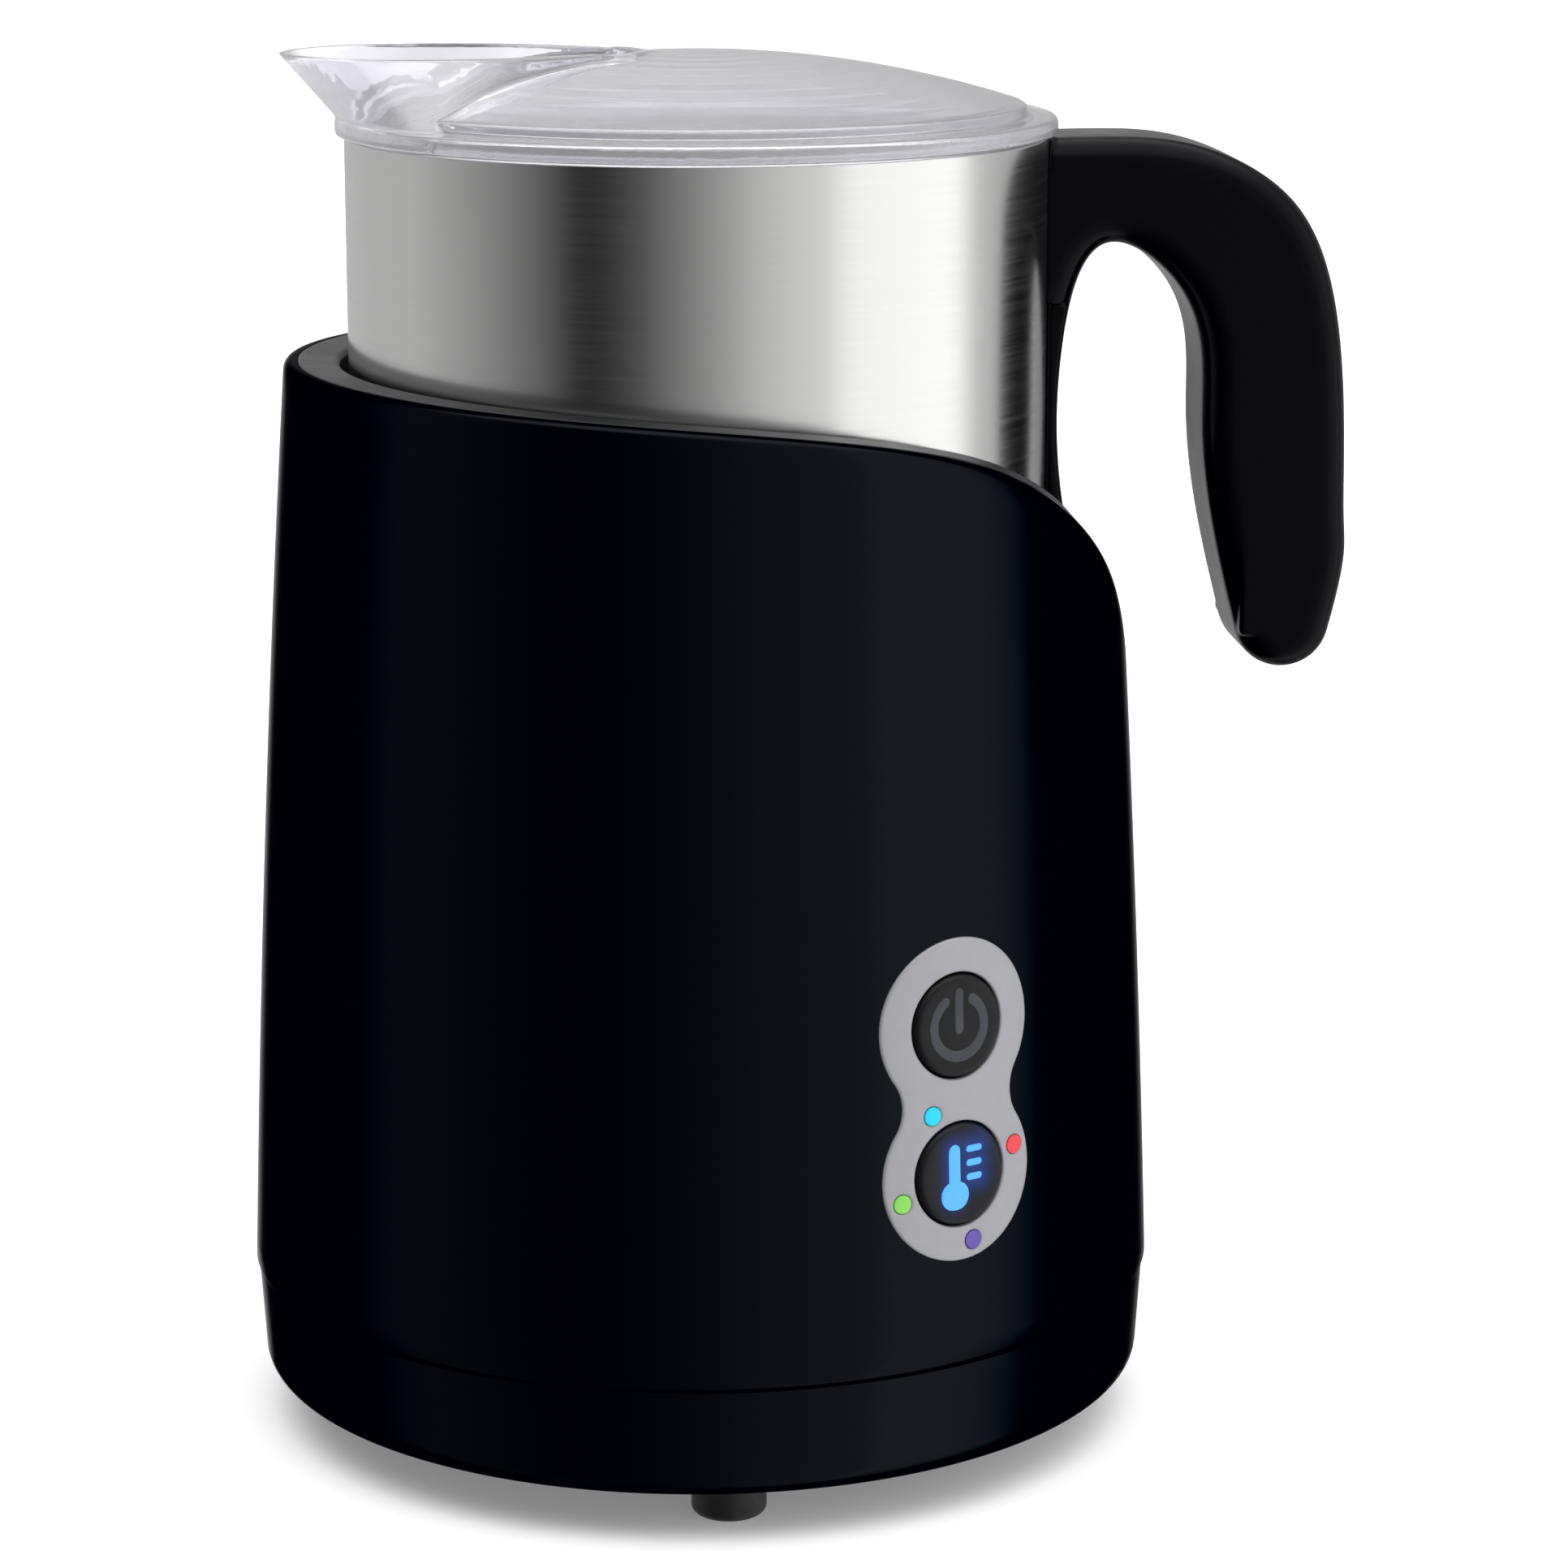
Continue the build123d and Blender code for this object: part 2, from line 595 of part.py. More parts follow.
def sensor_spring():
    """Spring inside the sensor cap, standing on the carrier."""
    high = JUG_BOTTOM - CLEAR - SENSOR_WALL - SENSOR_TRAVEL - CLEAR
    outer = SENSOR_R - SENSOR_WALL - CLEAR
    return sensor_place() * tube(outer, outer - 2 * CLEAR, CARRIER_TOP, high)


# --- jug ---------------------------------------------------------------------
def jug_body():
    body = disc(JUG_R, JUG_BOTTOM, JUG_TOP)
    body = fillet(body.edges().sort_by(Axis.Z)[0], JUG_EDGE_R)
    hollow = disc(JUG_IN, JUG_BOTTOM + JUG_FLOOR, JUG_TOP)
    hollow = fillet(hollow.edges().sort_by(Axis.Z)[0], JUG_EDGE_R - JUG_WALL)
    body -= hollow
    return fillet(body.edges().sort_by(Axis.Z)[-2:], JUG_WALL * 0.35)


def whisk_pin():
    low = JUG_BOTTOM + JUG_FLOOR
    pin = disc(PIN_R, low, low + PIN_HEIGHT)
    pin = fillet(pin.edges().sort_by(Axis.Z)[-1], PIN_R * 0.6)
    return pin + disc(PIN_R * 2, low, low + PIN_FLANGE)


def grip_end():
    """Centre height, half width and lean where the round free end begins."""
    turn = radians(HANDLE_LEAN)
    middle = HANDLE_REACH - HANDLE_END_R - 1.9
    return middle, HANDLE_END_R * cos(turn), HANDLE_LOW + HANDLE_END_R * (1 - sin(turn)), sin(turn)


def gap_curve(push=0.0):
    """Inside of the grip, the root of the hook and the face of the spine."""
    middle, half, low, lean = grip_end()
    inside = HANDLE_REACH - HANDLE_DEPTH
    return Spline(
        (middle - half + push, low), (inside + push, HANDLE_TOP - 41),
        (inside - 3.6 + 0.8 * push, HANDLE_TOP - 21.5 + 0.6 * push),
        (JUG_R + 8.4, HANDLE_TOP - 15.0 + push), (JUG_R + 1.8 - push, HANDLE_TOP - 30),
        (SPINE_FOOT - push, SPINE_LOW),
        tangents=((-lean, 1), (lean, -1)),
    )


def back_curve():
    """Top of the hook and outside of the grip."""
    middle, half, low, lean = grip_end()
    return Spline(
        (JUG_R, HANDLE_TOP), (JUG_R + 21, HANDLE_TOP - 1.3), (JUG_R + 34.4, HANDLE_TOP - 8.8),
        (HANDLE_REACH - 2.3, HANDLE_TOP - 23), (HANDLE_REACH, HANDLE_TOP - 56), (middle + half, low),
        tangents=((1, 0), (-lean, -1)),
    )


def rounded_slab(lines):
    """A flat outline made HANDLE_WIDTH thick, its curved edges rounded."""
    body = extrude(Plane.XZ.offset(-HANDLE_WIDTH / 2) * make_face(lines), HANDLE_WIDTH)
    edges = body.faces().filter_by(Axis.Y).edges()
    return fillet([e for e in edges if e.geom_type != GeomType.LINE], HANDLE_EDGE)


def handle_solid():
    """Hook and spine: what lies inside the outer curve and outside the gap."""
    outer, inner = back_curve(), gap_curve()
    tip = inner @ 0
    end = ThreePointArc(outer @ 1, (grip_end()[0], HANDLE_LOW), tip)
    root = JUG_R - 6
    within = rounded_slab([outer, end, Polyline(tip, (root, tip.Y), (root, (outer @ 0).Y), outer @ 0)])
    high = JUG_TOP + 10
    beyond = Polyline(inner @ 1, (root, SPINE_LOW), (root, high), (FAR * 2, high), (FAR * 2, 0), (tip.X, 0), tip)
    body = within & rounded_slab([inner, beyond])
    side = block(0, JUG_R + 9, HANDLE_WIDTH, SPINE_LOW - 1, JUG_TOP - 24)
    side -= block(0, JUG_R + 9, SPINE_WIDTH / 2, SPINE_LOW - 1, JUG_TOP - 24)
    return body - side - disc(JUG_R, SPINE_LOW - 1, JUG_TOP + 1)


def cover_region(half):
    """Strip along the inside of the hook, from its root to the free end."""
    curve = gap_curve(COVER_DEPTH)
    rest = Polyline(curve @ 1, (SPINE_FOOT, HANDLE_LOW), ((curve @ 0).X, HANDLE_LOW), curve @ 0)
    strip = extrude(Plane.XZ.offset(-half) * make_face([curve, rest]), 2 * half)
    return strip & block(SPINE_FOOT + 1, HANDLE_REACH - 4, HANDLE_WIDTH, HANDLE_LOW + 6, JUG_TOP)


def bracket_solid():
    """Sheet welded to the jug, with a tongue into the root of the hook."""
    sheet = tube(JUG_R + BRACKET, JUG_R, SPINE_LOW + 8, JUG_TOP - 6)
    sheet &= block(0, FAR, SPINE_WIDTH / 2 - 2.5, SPINE_LOW, JUG_TOP)
    tongue = block(JUG_R, JUG_R + TONGUE_REACH, SPINE_WIDTH / 2 - 2, TONGUE_LOW, TONGUE_LOW + WALL)
    return sheet + (tongue - disc(JUG_R, SPINE_LOW, JUG_TOP))


def handle_screw_places():
    under = TONGUE_LOW - SCREW_HEAD - 1.9
    return [Pos(JUG_R + 10, y, under) for y in (-3.6, 3.6)]


def handle_shell():
    body = handle_solid() - cover_region(COVER_WIDTH / 2) - bracket_solid()
    for place in handle_screw_places():
        body -= place * Pos(0, 0, -1.5) * Cylinder(SCREW_HEAD_R + SNUG, SCREW_HEAD + 1.5, align=UP)
        body -= place * Cylinder(SCREW_R, 9, align=UP)
    return body


def handle_cover():
    return handle_solid() & cover_region(COVER_WIDTH / 2)


def handle_bracket():
    sheet = bracket_solid()
    for place in handle_screw_places():
        sheet -= place * Cylinder(SCREW_R, 9, align=UP)
    return sheet


def handle_screws():
    return Part() + [place * screw(6.5) for place in handle_screw_places()]


# --- whisk -------------------------------------------------------------------
def whisk_low():
    return JUG_BOTTOM + JUG_FLOOR + 1.0


def whisk_hub():
    low = whisk_low()
    hub = disc(WHISK_R, low, low + WHISK_DISC)
    hub = fillet(hub.edges().sort_by(Axis.Z)[-1], 1.5)
    hub += disc(PIN_R + 3.5, low, low + PIN_HEIGHT + 3)
    for turn in (0, 90, 180, 270):
        arm = block(WHISK_R - 4, WHISK_RING, 1.6, low + 1.4, low + 3.6)
        hub += Rot(0, 0, turn) * arm
    hub -= disc(PIN_R + RUNNING, low, low + PIN_HEIGHT + 1)
    hub -= disc(PIN_R * 2 + CLEAR, low, low + PIN_FLANGE / 2)
    return hub - whisk_coil() - whisk_magnets()


def whisk_magnets():
    low = whisk_low()
    return ring_of(disc(MAGNET_R, low, low + MAGNET_HEIGHT - 1), MAGNETS, MAGNET_CIRCLE)


def whisk_coil():
    return Pos(0, 0, whisk_low() + WHISK_DISC / 2) * Torus(WHISK_RING + WHISK_WIRE - 2 * CLEAR, WHISK_WIRE / 2)


# --- lid ---------------------------------------------------------------------
def dome(thin, low):
    """Solid under the lid's dome, thinned by a wall."""
    radius = SPHERE - thin
    ball = Pos(0, 0, CROWN - SPHERE) * Sphere(radius)
    return ball & disc(LID_DOME_R - thin, low, CROWN + 1)


def closed_outline(points, height):
    """Face from one half of an outline, mirrored across the handle's plane."""
    edge = Spline(*points, tangents=((0, 1), (0.35, -1)))
    return Plane(origin=(0, 0, height)) * make_face([edge, mirror(edge, Plane.XZ)])


def mouth(inset, height):
    """Open top of the spout: a blunt nose, near parallel sides, a narrow back."""
    tip, back, half = SPOUT_TIP - inset, SPOUT_APEX + 1.4 * inset, SPOUT_HALF - inset
    return closed_outline((
        (-tip, 0), (-tip + 3.4, half * 0.56), (-tip + 9.0, half * 0.88), (-tip + 21, half),
        (-back - 17.5, half * 0.84), (-back - 6, half * 0.47), (-back, 0),
    ), height)


def root(inset, height):
    """Foot of the spout: it follows the flange, then closes to the apex."""
    r, back, half = LID_FLANGE_R - 0.8 - inset, SPOUT_APEX + 2 + 2 * inset, SPOUT_ROOT - inset
    corner = -sqrt(r**2 - half**2)
    return closed_outline((
        (-r, 0), (-r * cos(radians(14)), r * sin(radians(14))), (-r * cos(radians(27)), r * sin(radians(27))),
        (corner + 1.5, half - 0.4), (-back - 20, half * 0.62), (-back - 8, half * 0.28), (-back, 0),
    ), height)


def spout_form(inset, low, high):
    return loft([root(inset, low), mouth(inset, high)], ruled=True)


def lid_cover():
    top = CROWN + 0.2
    flange = disc(LID_FLANGE_R, LID_LOW, LID_LOW + LID_FLANGE)
    flange = fillet(flange.edges().sort_by(Axis.Z)[-1], 0.9)
    lid = flange + dome(0, LID_LOW) + disc(JUG_IN - 2 * CLEAR, LID_LOW - LID_SKIRT, LID_LOW)
    lid -= dome(LID_WALL, LID_LOW)
    lid -= disc(JUG_IN - 2 * CLEAR - SKIRT_WALL, LID_LOW - LID_SKIRT, LID_LOW)
    lid -= tube(JUG_R, JUG_IN - 2 * CLEAR - SEAL_R, LID_LOW - SEAL_LOW, LID_LOW - SEAL_HIGH)
    wall = spout_form(0, LID_LOW + LID_FLANGE - 0.6, top) - dome(LID_WALL, LID_LOW - LID_SKIRT)
    return lid + wall - spout_form(SPOUT_WALL, LID_LOW + 0.4, top)


def lid_seal():
    return tube(JUG_IN - CLEAR, JUG_IN - 2 * CLEAR - SEAL_R, LID_LOW - SEAL_LOW, LID_LOW - SEAL_HIGH)


def power_button():
    return button_blank(POWER_Z) - icon(POWER_Z, power_mark())


def mode_button():
    return button_blank(MODE_Z) - icon(MODE_Z, mode_mark())


def power_icon():
    return icon(POWER_Z, power_mark())


def mode_icon():
    return icon(MODE_Z, mode_mark())


PARTS = [
    outer_housing, well_liner, base_pan, rubber_feet, base_screws, cord_inlet,
    bezel_plate, power_button, power_icon, mode_button, mode_icon,
    button_board, button_switches, indicator_leds, button_board_screws,
    power_board, board_parts, board_screws,
    induction_coil, coil_carrier, ferrite_bars, carrier_screws,
    motor_mount, motor_can, motor_screws, motor_shaft, drive_rotor, rotor_magnets,
    sensor_cap, sensor_spring,
    jug_body, whisk_pin, handle_shell, handle_cover, handle_bracket, handle_screws,
    whisk_hub, whisk_magnets, whisk_coil, lid_cover, lid_seal,
]


def main():
    os.makedirs("parts", exist_ok=True)
    for make in PARTS:
        export_step(make(), f"parts/{make.__name__}.step")
    for colour, angle in DOTS.items():
        export_step(indicator(angle), f"parts/indicator_{colour}.step")


main()
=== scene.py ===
import json
from math import atan2, cos, degrees, exp, pi, radians, sin, sqrt

import bmesh
import bpy
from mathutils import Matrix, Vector
from mathutils.geometry import delaunay_2d_cdt


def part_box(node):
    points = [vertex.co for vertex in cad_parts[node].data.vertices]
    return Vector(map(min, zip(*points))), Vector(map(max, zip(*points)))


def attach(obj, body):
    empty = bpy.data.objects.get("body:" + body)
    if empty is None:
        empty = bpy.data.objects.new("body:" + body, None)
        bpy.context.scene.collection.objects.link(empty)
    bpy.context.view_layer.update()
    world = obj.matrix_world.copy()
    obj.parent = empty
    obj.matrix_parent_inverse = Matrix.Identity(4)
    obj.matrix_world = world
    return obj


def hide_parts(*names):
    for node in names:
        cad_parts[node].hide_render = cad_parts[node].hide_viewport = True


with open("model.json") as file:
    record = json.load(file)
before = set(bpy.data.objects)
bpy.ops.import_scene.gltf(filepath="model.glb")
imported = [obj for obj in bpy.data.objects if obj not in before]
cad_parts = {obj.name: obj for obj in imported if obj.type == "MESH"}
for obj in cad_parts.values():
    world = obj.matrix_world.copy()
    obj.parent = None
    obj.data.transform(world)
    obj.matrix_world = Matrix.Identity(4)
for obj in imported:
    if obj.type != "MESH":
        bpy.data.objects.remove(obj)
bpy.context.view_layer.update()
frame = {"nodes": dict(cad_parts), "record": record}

NODES = frame["nodes"]
MM = 0.001

# --- the studio -------------------------------------------------------------
CAMERA_AT = (-0.0493, -0.6783, 0.2431)
CAMERA_HEADING = 5.2         # degrees the view is turned from +Y towards +X
CAMERA_DOWN = 12.94          # degrees it looks down
LENS = 109.3
# Brightness of the surroundings by direction, in degrees right of the camera
# as seen from the object: dim in front to the left, a soft box to the right.
STUDIO = (
    (-180, 0.55), (-150, 0.62), (-105, 0.66), (-70, 0.36), (-46, 0.12), (-40, 0.03), (-31, 0.03),
    (-18, 0.11), (5, 0.42), (25, 0.82), (42, 0.98), (50, 1.45), (92, 1.62), (102, 0.80),
    (116, 0.62), (140, 0.50), (158, 0.20), (180, 0.55),
)
TOP_LIGHT = 2.6              # brightness of the soft box overhead
TOP_STARTS, TOP_FULL = 0.62, 0.84    # where it fades in, as a share of straight up
FLOOR_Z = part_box("rubber_feet")[0].z
FLOOR_REACH = 8.0
FLOOR_GLOW = 0.2             # keeps the contact shadow light


def node(tree, kind, **values):
    """Adds a shader node; values are its properties or its input sockets."""
    made = tree.nodes.new(kind)
    for key, value in values.items():
        if hasattr(made, key):
            setattr(made, key, value)
        else:
            made.inputs[key.replace("_", " ")].default_value = value
    return made


def link(tree, out, into):
    tree.links.new(out, into)


def maths(tree, operation, value, second):
    """A sum of two numbers; each is a socket or a plain number."""
    made = node(tree, "ShaderNodeMath", operation=operation)
    for place, given in enumerate((value, second)):
        if isinstance(given, (int, float)):
            made.inputs[place].default_value = given
        else:
            link(tree, given, made.inputs[place])
    return made.outputs[0]


def studio_world():
    """Surroundings that are bright by direction, with a soft box overhead."""
    world = bpy.data.worlds.new("studio")
    world.use_nodes = True
    tree = world.node_tree
    tree.nodes.clear()
    where = node(tree, "ShaderNodeTexCoord")
    parts = node(tree, "ShaderNodeSeparateXYZ")
    link(tree, where.outputs["Generated"], parts.inputs[0])
    # turn the angle so that 0.5 is the camera's side and it grows to the right
    angle = maths(tree, "ARCTAN2", parts.outputs["Y"], parts.outputs["X"])
    camera_side = atan2(CAMERA_AT[1], CAMERA_AT[0])
    share = maths(tree, "DIVIDE", maths(tree, "SUBTRACT", angle, camera_side), 2 * pi)
    wrapped = maths(tree, "FRACT", maths(tree, "ADD", share, 0.5), 0.0)
    ramp = node(tree, "ShaderNodeValToRGB")
    link(tree, wrapped, ramp.inputs["Fac"])
    stops = ramp.color_ramp.elements
    brightest = max(level for _, level in STUDIO)
    while len(stops) < len(STUDIO):
        stops.new(0.5)
    for stop, (direction, level) in zip(stops, STUDIO):
        stop.position = (direction + 180) / 360
        stop.color = (level / brightest,) * 3 + (1,)
    height = node(tree, "ShaderNodeMapRange", clamp=True)
    link(tree, parts.outputs["Z"], height.inputs["Value"])
    height.inputs["From Min"].default_value = TOP_STARTS
    height.inputs["From Max"].default_value = TOP_FULL
    mix = node(tree, "ShaderNodeMix", data_type="RGBA")
    link(tree, height.outputs[0], mix.inputs["Factor"])
    link(tree, ramp.outputs["Color"], mix.inputs[6])
    mix.inputs[7].default_value = (TOP_LIGHT / brightest,) * 3 + (1,)
    background = node(tree, "ShaderNodeBackground")
    background.inputs["Strength"].default_value = brightest
    link(tree, mix.outputs[2], background.inputs["Color"])
    out = node(tree, "ShaderNodeOutputWorld")
    link(tree, background.outputs[0], out.inputs["Surface"])
    bpy.context.scene.world = world


def camera():
    data = bpy.data.cameras.new("camera")
    data.lens = LENS
    data.sensor_width = 36
    data.clip_start = 0.05
    data.clip_end = 50
    made = bpy.data.objects.new("camera", data)
    bpy.context.scene.collection.objects.link(made)
    turn, down = radians(CAMERA_HEADING), radians(CAMERA_DOWN)
    look = Vector((sin(turn) * cos(down), cos(turn) * cos(down), -sin(down)))
    made.location = CAMERA_AT
    made.rotation_mode = "QUATERNION"
    made.rotation_quaternion = look.to_track_quat("-Z", "Y")
    bpy.context.scene.camera = made


def mesh_object(name, verts, faces, smooth=True):
    mesh = bpy.data.meshes.new(name)
    mesh.from_pydata([tuple(v) for v in verts], [], faces)
    mesh.update()
    for face in mesh.polygons:
        face.use_smooth = smooth
    made = bpy.data.objects.new(name, mesh)
    bpy.context.scene.collection.objects.link(made)
    return made


def floor():
    """Plain pale floor, kept out of the reflections."""
    signs = ((-1, -1), (1, -1), (1, 1), (-1, 1))
    corners = [(x * FLOOR_REACH, y * FLOOR_REACH, FLOOR_Z) for x, y in signs]
    made = mesh_object("floor", corners, [(0, 1, 2, 3)], smooth=False)
    pale = material("floor", (0.9, 0.9, 0.9), 0.9, Specular_IOR_Level=0.0,
                    Emission_Color=(1.0, 1.0, 1.0), Emission_Strength=FLOOR_GLOW)
    made.data.materials.append(pale)
    made.visible_glossy = False


# --- materials --------------------------------------------------------------
def material(name, colour, rough, metal=0.0, **sockets):
    """A shader with constant values; sockets are further inputs by name."""
    made = bpy.data.materials.new(name)
    made.use_nodes = True
    shader = made.node_tree.nodes["Principled BSDF"]
    shader.inputs["Base Color"].default_value = (*colour, 1)
    shader.inputs["Roughness"].default_value = rough
    shader.inputs["Metallic"].default_value = metal
    for key, value in sockets.items():
        socket = shader.inputs[key.replace("_", " ")]
        socket.default_value = (*value, 1) if isinstance(value, tuple) else value
    return made


def placed(tree, stretch):
    """The object's own position, in millimetres, stretched per axis."""
    where = node(tree, "ShaderNodeTexCoord")
    mapping = node(tree, "ShaderNodeMapping")
    mapping.inputs["Scale"].default_value = [1000 * s for s in stretch]
    link(tree, where.outputs["Object"], mapping.inputs["Vector"])
    return mapping.outputs["Vector"]


def patches(tree, size, detail, stretch):
    """Noise whose patches have a size in millimetres."""
    noise = node(tree, "ShaderNodeTexNoise")
    noise.inputs["Scale"].default_value = 1 / size
    noise.inputs["Detail"].default_value = detail
    link(tree, placed(tree, stretch), noise.inputs["Vector"])
    return noise.outputs["Fac"]


def grain(made, size, depth, stretch=(1, 1, 1)):
    """Fine relief: lumps of a size and a depth, both in millimetres."""
    tree = made.node_tree
    bump = node(tree, "ShaderNodeBump")
    bump.inputs["Strength"].default_value = 1.0
    bump.inputs["Distance"].default_value = depth * MM
    link(tree, patches(tree, size, 2.0, stretch), bump.inputs["Height"])
    link(tree, bump.outputs["Normal"], tree.nodes["Principled BSDF"].inputs["Normal"])


def vary(made, socket, size, low, high, stretch=(1, 1, 1)):
    """Lets a socket wander between two values in patches of a size."""
    tree = made.node_tree
    span = node(tree, "ShaderNodeMapRange")
    span.inputs["From Min"].default_value = 0.3
    span.inputs["From Max"].default_value = 0.7
    span.inputs["To Min"].default_value = low
    span.inputs["To Max"].default_value = high
    link(tree, patches(tree, size, 3.0, stretch), span.inputs["Value"])
    link(tree, span.outputs[0], tree.nodes["Principled BSDF"].inputs[socket])


def tint(made, size, first, second):
    """Colour that wanders between two close tones."""
    tree = made.node_tree
    ramp = node(tree, "ShaderNodeValToRGB")
    ramp.color_ramp.elements[0].color = (*first, 1)
    ramp.color_ramp.elements[1].color = (*second, 1)
    ramp.color_ramp.elements[0].position = 0.35
    ramp.color_ramp.elements[1].position = 0.65
    link(tree, patches(tree, size, 4.0, (1, 1, 1)), ramp.inputs["Fac"])
    link(tree, ramp.outputs["Color"], tree.nodes["Principled BSDF"].inputs["Base Color"])


def gloss_black():
    """Lacquer whose reflections stay dim at every angle, with a faint painted blue glow from
    emission.
    """
    # painted light: a faint blue emission glows on the lacquer, standing in for a bluish sheen
    made = material("gloss_black", (0.0062, 0.0074, 0.0085), 0.12, 1.0, Specular_Tint=(0.0, 0.0, 0.0),
                    Emission_Color=(0.05, 0.1, 1.0), Emission_Strength=0.002)
    vary(made, "Roughness", 40, 0.09, 0.15)
    grain(made, 6.0, 0.004)
    return made


def handle_black():
    made = material("handle_black", (0.0003, 0.0003, 0.0018), 0.2, Specular_IOR_Level=0.07)
    vary(made, "Roughness", 12, 0.17, 0.25)
    grain(made, 0.6, 0.004)
    return made


def rim_black():
    made = material("rim_black", (0.010, 0.011, 0.012), 0.38, Specular_IOR_Level=0.3)
    vary(made, "Roughness", 8, 0.34, 0.44)
    grain(made, 0.35, 0.01)
    return made


def jug_steel():
    made = material("jug_steel", (0.62, 0.62, 0.615), 0.2, 1.0)
    vary(made, "Roughness", 0.5, 0.17, 0.23, (0.02, 0.02, 1))
    grain(made, 0.12, 0.0008, (0.02, 0.02, 1))
    return made


def plain_steel(name, tone, rough):
    made = material(name, tone, rough, 1.0)
    vary(made, "Roughness", 2, rough - 0.06, rough + 0.08)
    grain(made, 0.5, 0.003)
    return made


def plate_silver():
    made = material("plate_silver", (0.31, 0.305, 0.33), 0.45, 0.35, Specular_IOR_Level=0.35)
    vary(made, "Roughness", 1.5, 0.40, 0.5)
    grain(made, 0.15, 0.004)
    return made


def lid_clear():
    made = material("lid_clear", (0.87, 0.86, 0.91), 0.04, IOR=1.43, Transmission_Weight=0.78,
                    Coat_Weight=0.5, Coat_Roughness=0.03)
    vary(made, "Roughness", 15, 0.02, 0.05)
    return made


def moulded(name, tone, rough=0.45, size=0.4, depth=0.008, level=0.35):
    """Moulded plastic, rubber or board, with a fine uneven surface."""
    made = material(name, tone, rough, Specular_IOR_Level=level)
    tint(made, 5.0, tuple(c * 0.85 for c in tone), tuple(min(1, c * 1.15) for c in tone))
    vary(made, "Roughness", 3, rough - 0.05, rough + 0.08)
    grain(made, size, depth)
    return made


def glowing(name, tone, strength):
    made = material(name, tone, 0.3, Emission_Color=tone, Emission_Strength=strength)
    tint(made, 0.8, tuple(c * 0.9 for c in tone), tone)
    return made


def dress():
    """Gives every CAD node its material."""
    made = {
        "gloss_black": gloss_black(),
        "rim_black": rim_black(),
        "handle_black": handle_black(),
        "rubber": moulded("rubber", (0.012, 0.012, 0.013), 0.6, 0.5, 0.02),
        "inlet_black": moulded("inlet_black", (0.012, 0.012, 0.013), 0.5),
        "plate_silver": plate_silver(),
        "button_black": moulded("button_black", (0.0035, 0.0035, 0.0045), 0.4, 0.25, 0.004, 0.2),
        "icon_grey": moulded("icon_grey", (0.028, 0.032, 0.04), 0.4),
        "icon_blue": glowing("icon_blue", (0.045, 0.27, 0.72), 0.62),
        "dot_cyan": moulded("dot_cyan", (0.005, 0.55, 0.75), 0.35),
        "dot_red": moulded("dot_red", (0.87, 0.04, 0.045), 0.35),
        "dot_green": moulded("dot_green", (0.18, 0.54, 0.08), 0.35),
        "dot_violet": moulded("dot_violet", (0.115, 0.07, 0.38), 0.35),
        "board_green": moulded("board_green", (0.01, 0.11, 0.04), 0.35, 0.8, 0.02),
        "component_black": moulded("component_black", (0.02, 0.02, 0.022)),
        "led_white": moulded("led_white", (0.8, 0.8, 0.7), 0.2),
        "screw_steel": plain_steel("screw_steel", (0.55, 0.55, 0.56), 0.3),
        "copper": plain_steel("copper", (0.70, 0.30, 0.15), 0.35),
        "carrier_plastic": moulded("carrier_plastic", (0.5, 0.48, 0.42)),
        "ferrite": moulded("ferrite", (0.05, 0.05, 0.052), 0.6, 0.3, 0.02),
        "motor_steel": plain_steel("motor_steel", (0.45, 0.45, 0.45), 0.38),
        "shaft_steel": plain_steel("shaft_steel", (0.6, 0.6, 0.6), 0.2),
        "rotor_plastic": moulded("rotor_plastic", (0.6, 0.6, 0.57)),
        "magnet": plain_steel("magnet", (0.6, 0.6, 0.6), 0.2),
        "sensor_metal": plain_steel("sensor_metal", (0.6, 0.6, 0.6), 0.3),
        "spring_steel": plain_steel("spring_steel", (0.62, 0.62, 0.63), 0.22),
        "jug_steel": jug_steel(),
        "bracket_steel": plain_steel("bracket_steel", (0.5, 0.5, 0.5), 0.35),
        "whisk_plastic": moulded("whisk_plastic", (0.03, 0.03, 0.03)),
        "lid_clear": lid_clear(),
        "silicone": moulded("silicone", (0.7, 0.7, 0.7), 0.5),
    }
    for part in frame["record"]["subparts"]:
        target = NODES[part["node"]]
        for face in target.data.polygons:
            face.use_smooth = True
        target.data.materials.clear()
        target.data.materials.append(made[part["material_slot"]])
    return made


# --- shapes -----------------------------------------------------------------
# All shapes below are written in millimetres and take their sizes from the CAD.
def extent(name):
    """Low and high corner of a CAD node's box."""
    low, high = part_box(name)
    return low / MM, high / MM


def rings(sections, closed=True):
    """Vertices and faces of a skin over sections of equal length."""
    verts = [point for section in sections for point in section]
    count, total = len(sections[0]), len(sections)
    faces = []
    for i in range(total if closed else total - 1):
        j = (i + 1) % total
        for k in range(count):
            m = (k + 1) % count
            faces.append((i * count + k, j * count + k, j * count + m, i * count + m))
    return verts, faces


def piece(name, verts, faces, sharp=None):
    """A mesh in millimetres as an object in metres, welded and facing out."""
    made = mesh_object(name, [Vector(v) * MM for v in verts], faces)
    skin = bmesh.new()
    skin.from_mesh(made.data)
    bmesh.ops.remove_doubles(skin, verts=skin.verts, dist=1e-6)
    bmesh.ops.dissolve_degenerate(skin, dist=1e-7, edges=skin.edges)
    bmesh.ops.recalc_face_normals(skin, faces=skin.faces)
    skin.to_mesh(made.data)
    skin.free()
    if sharp:
        made.data.set_sharp_from_angle(angle=radians(sharp))
    return made


def arc(x, z, radius, start, end, steps=6):
    """Points of an arc in a section, angles in degrees from +X to +Z."""
    turns = [radians(start + (end - start) * i / steps) for i in range(steps + 1)]
    return [(x + radius * cos(t), z + radius * sin(t)) for t in turns]


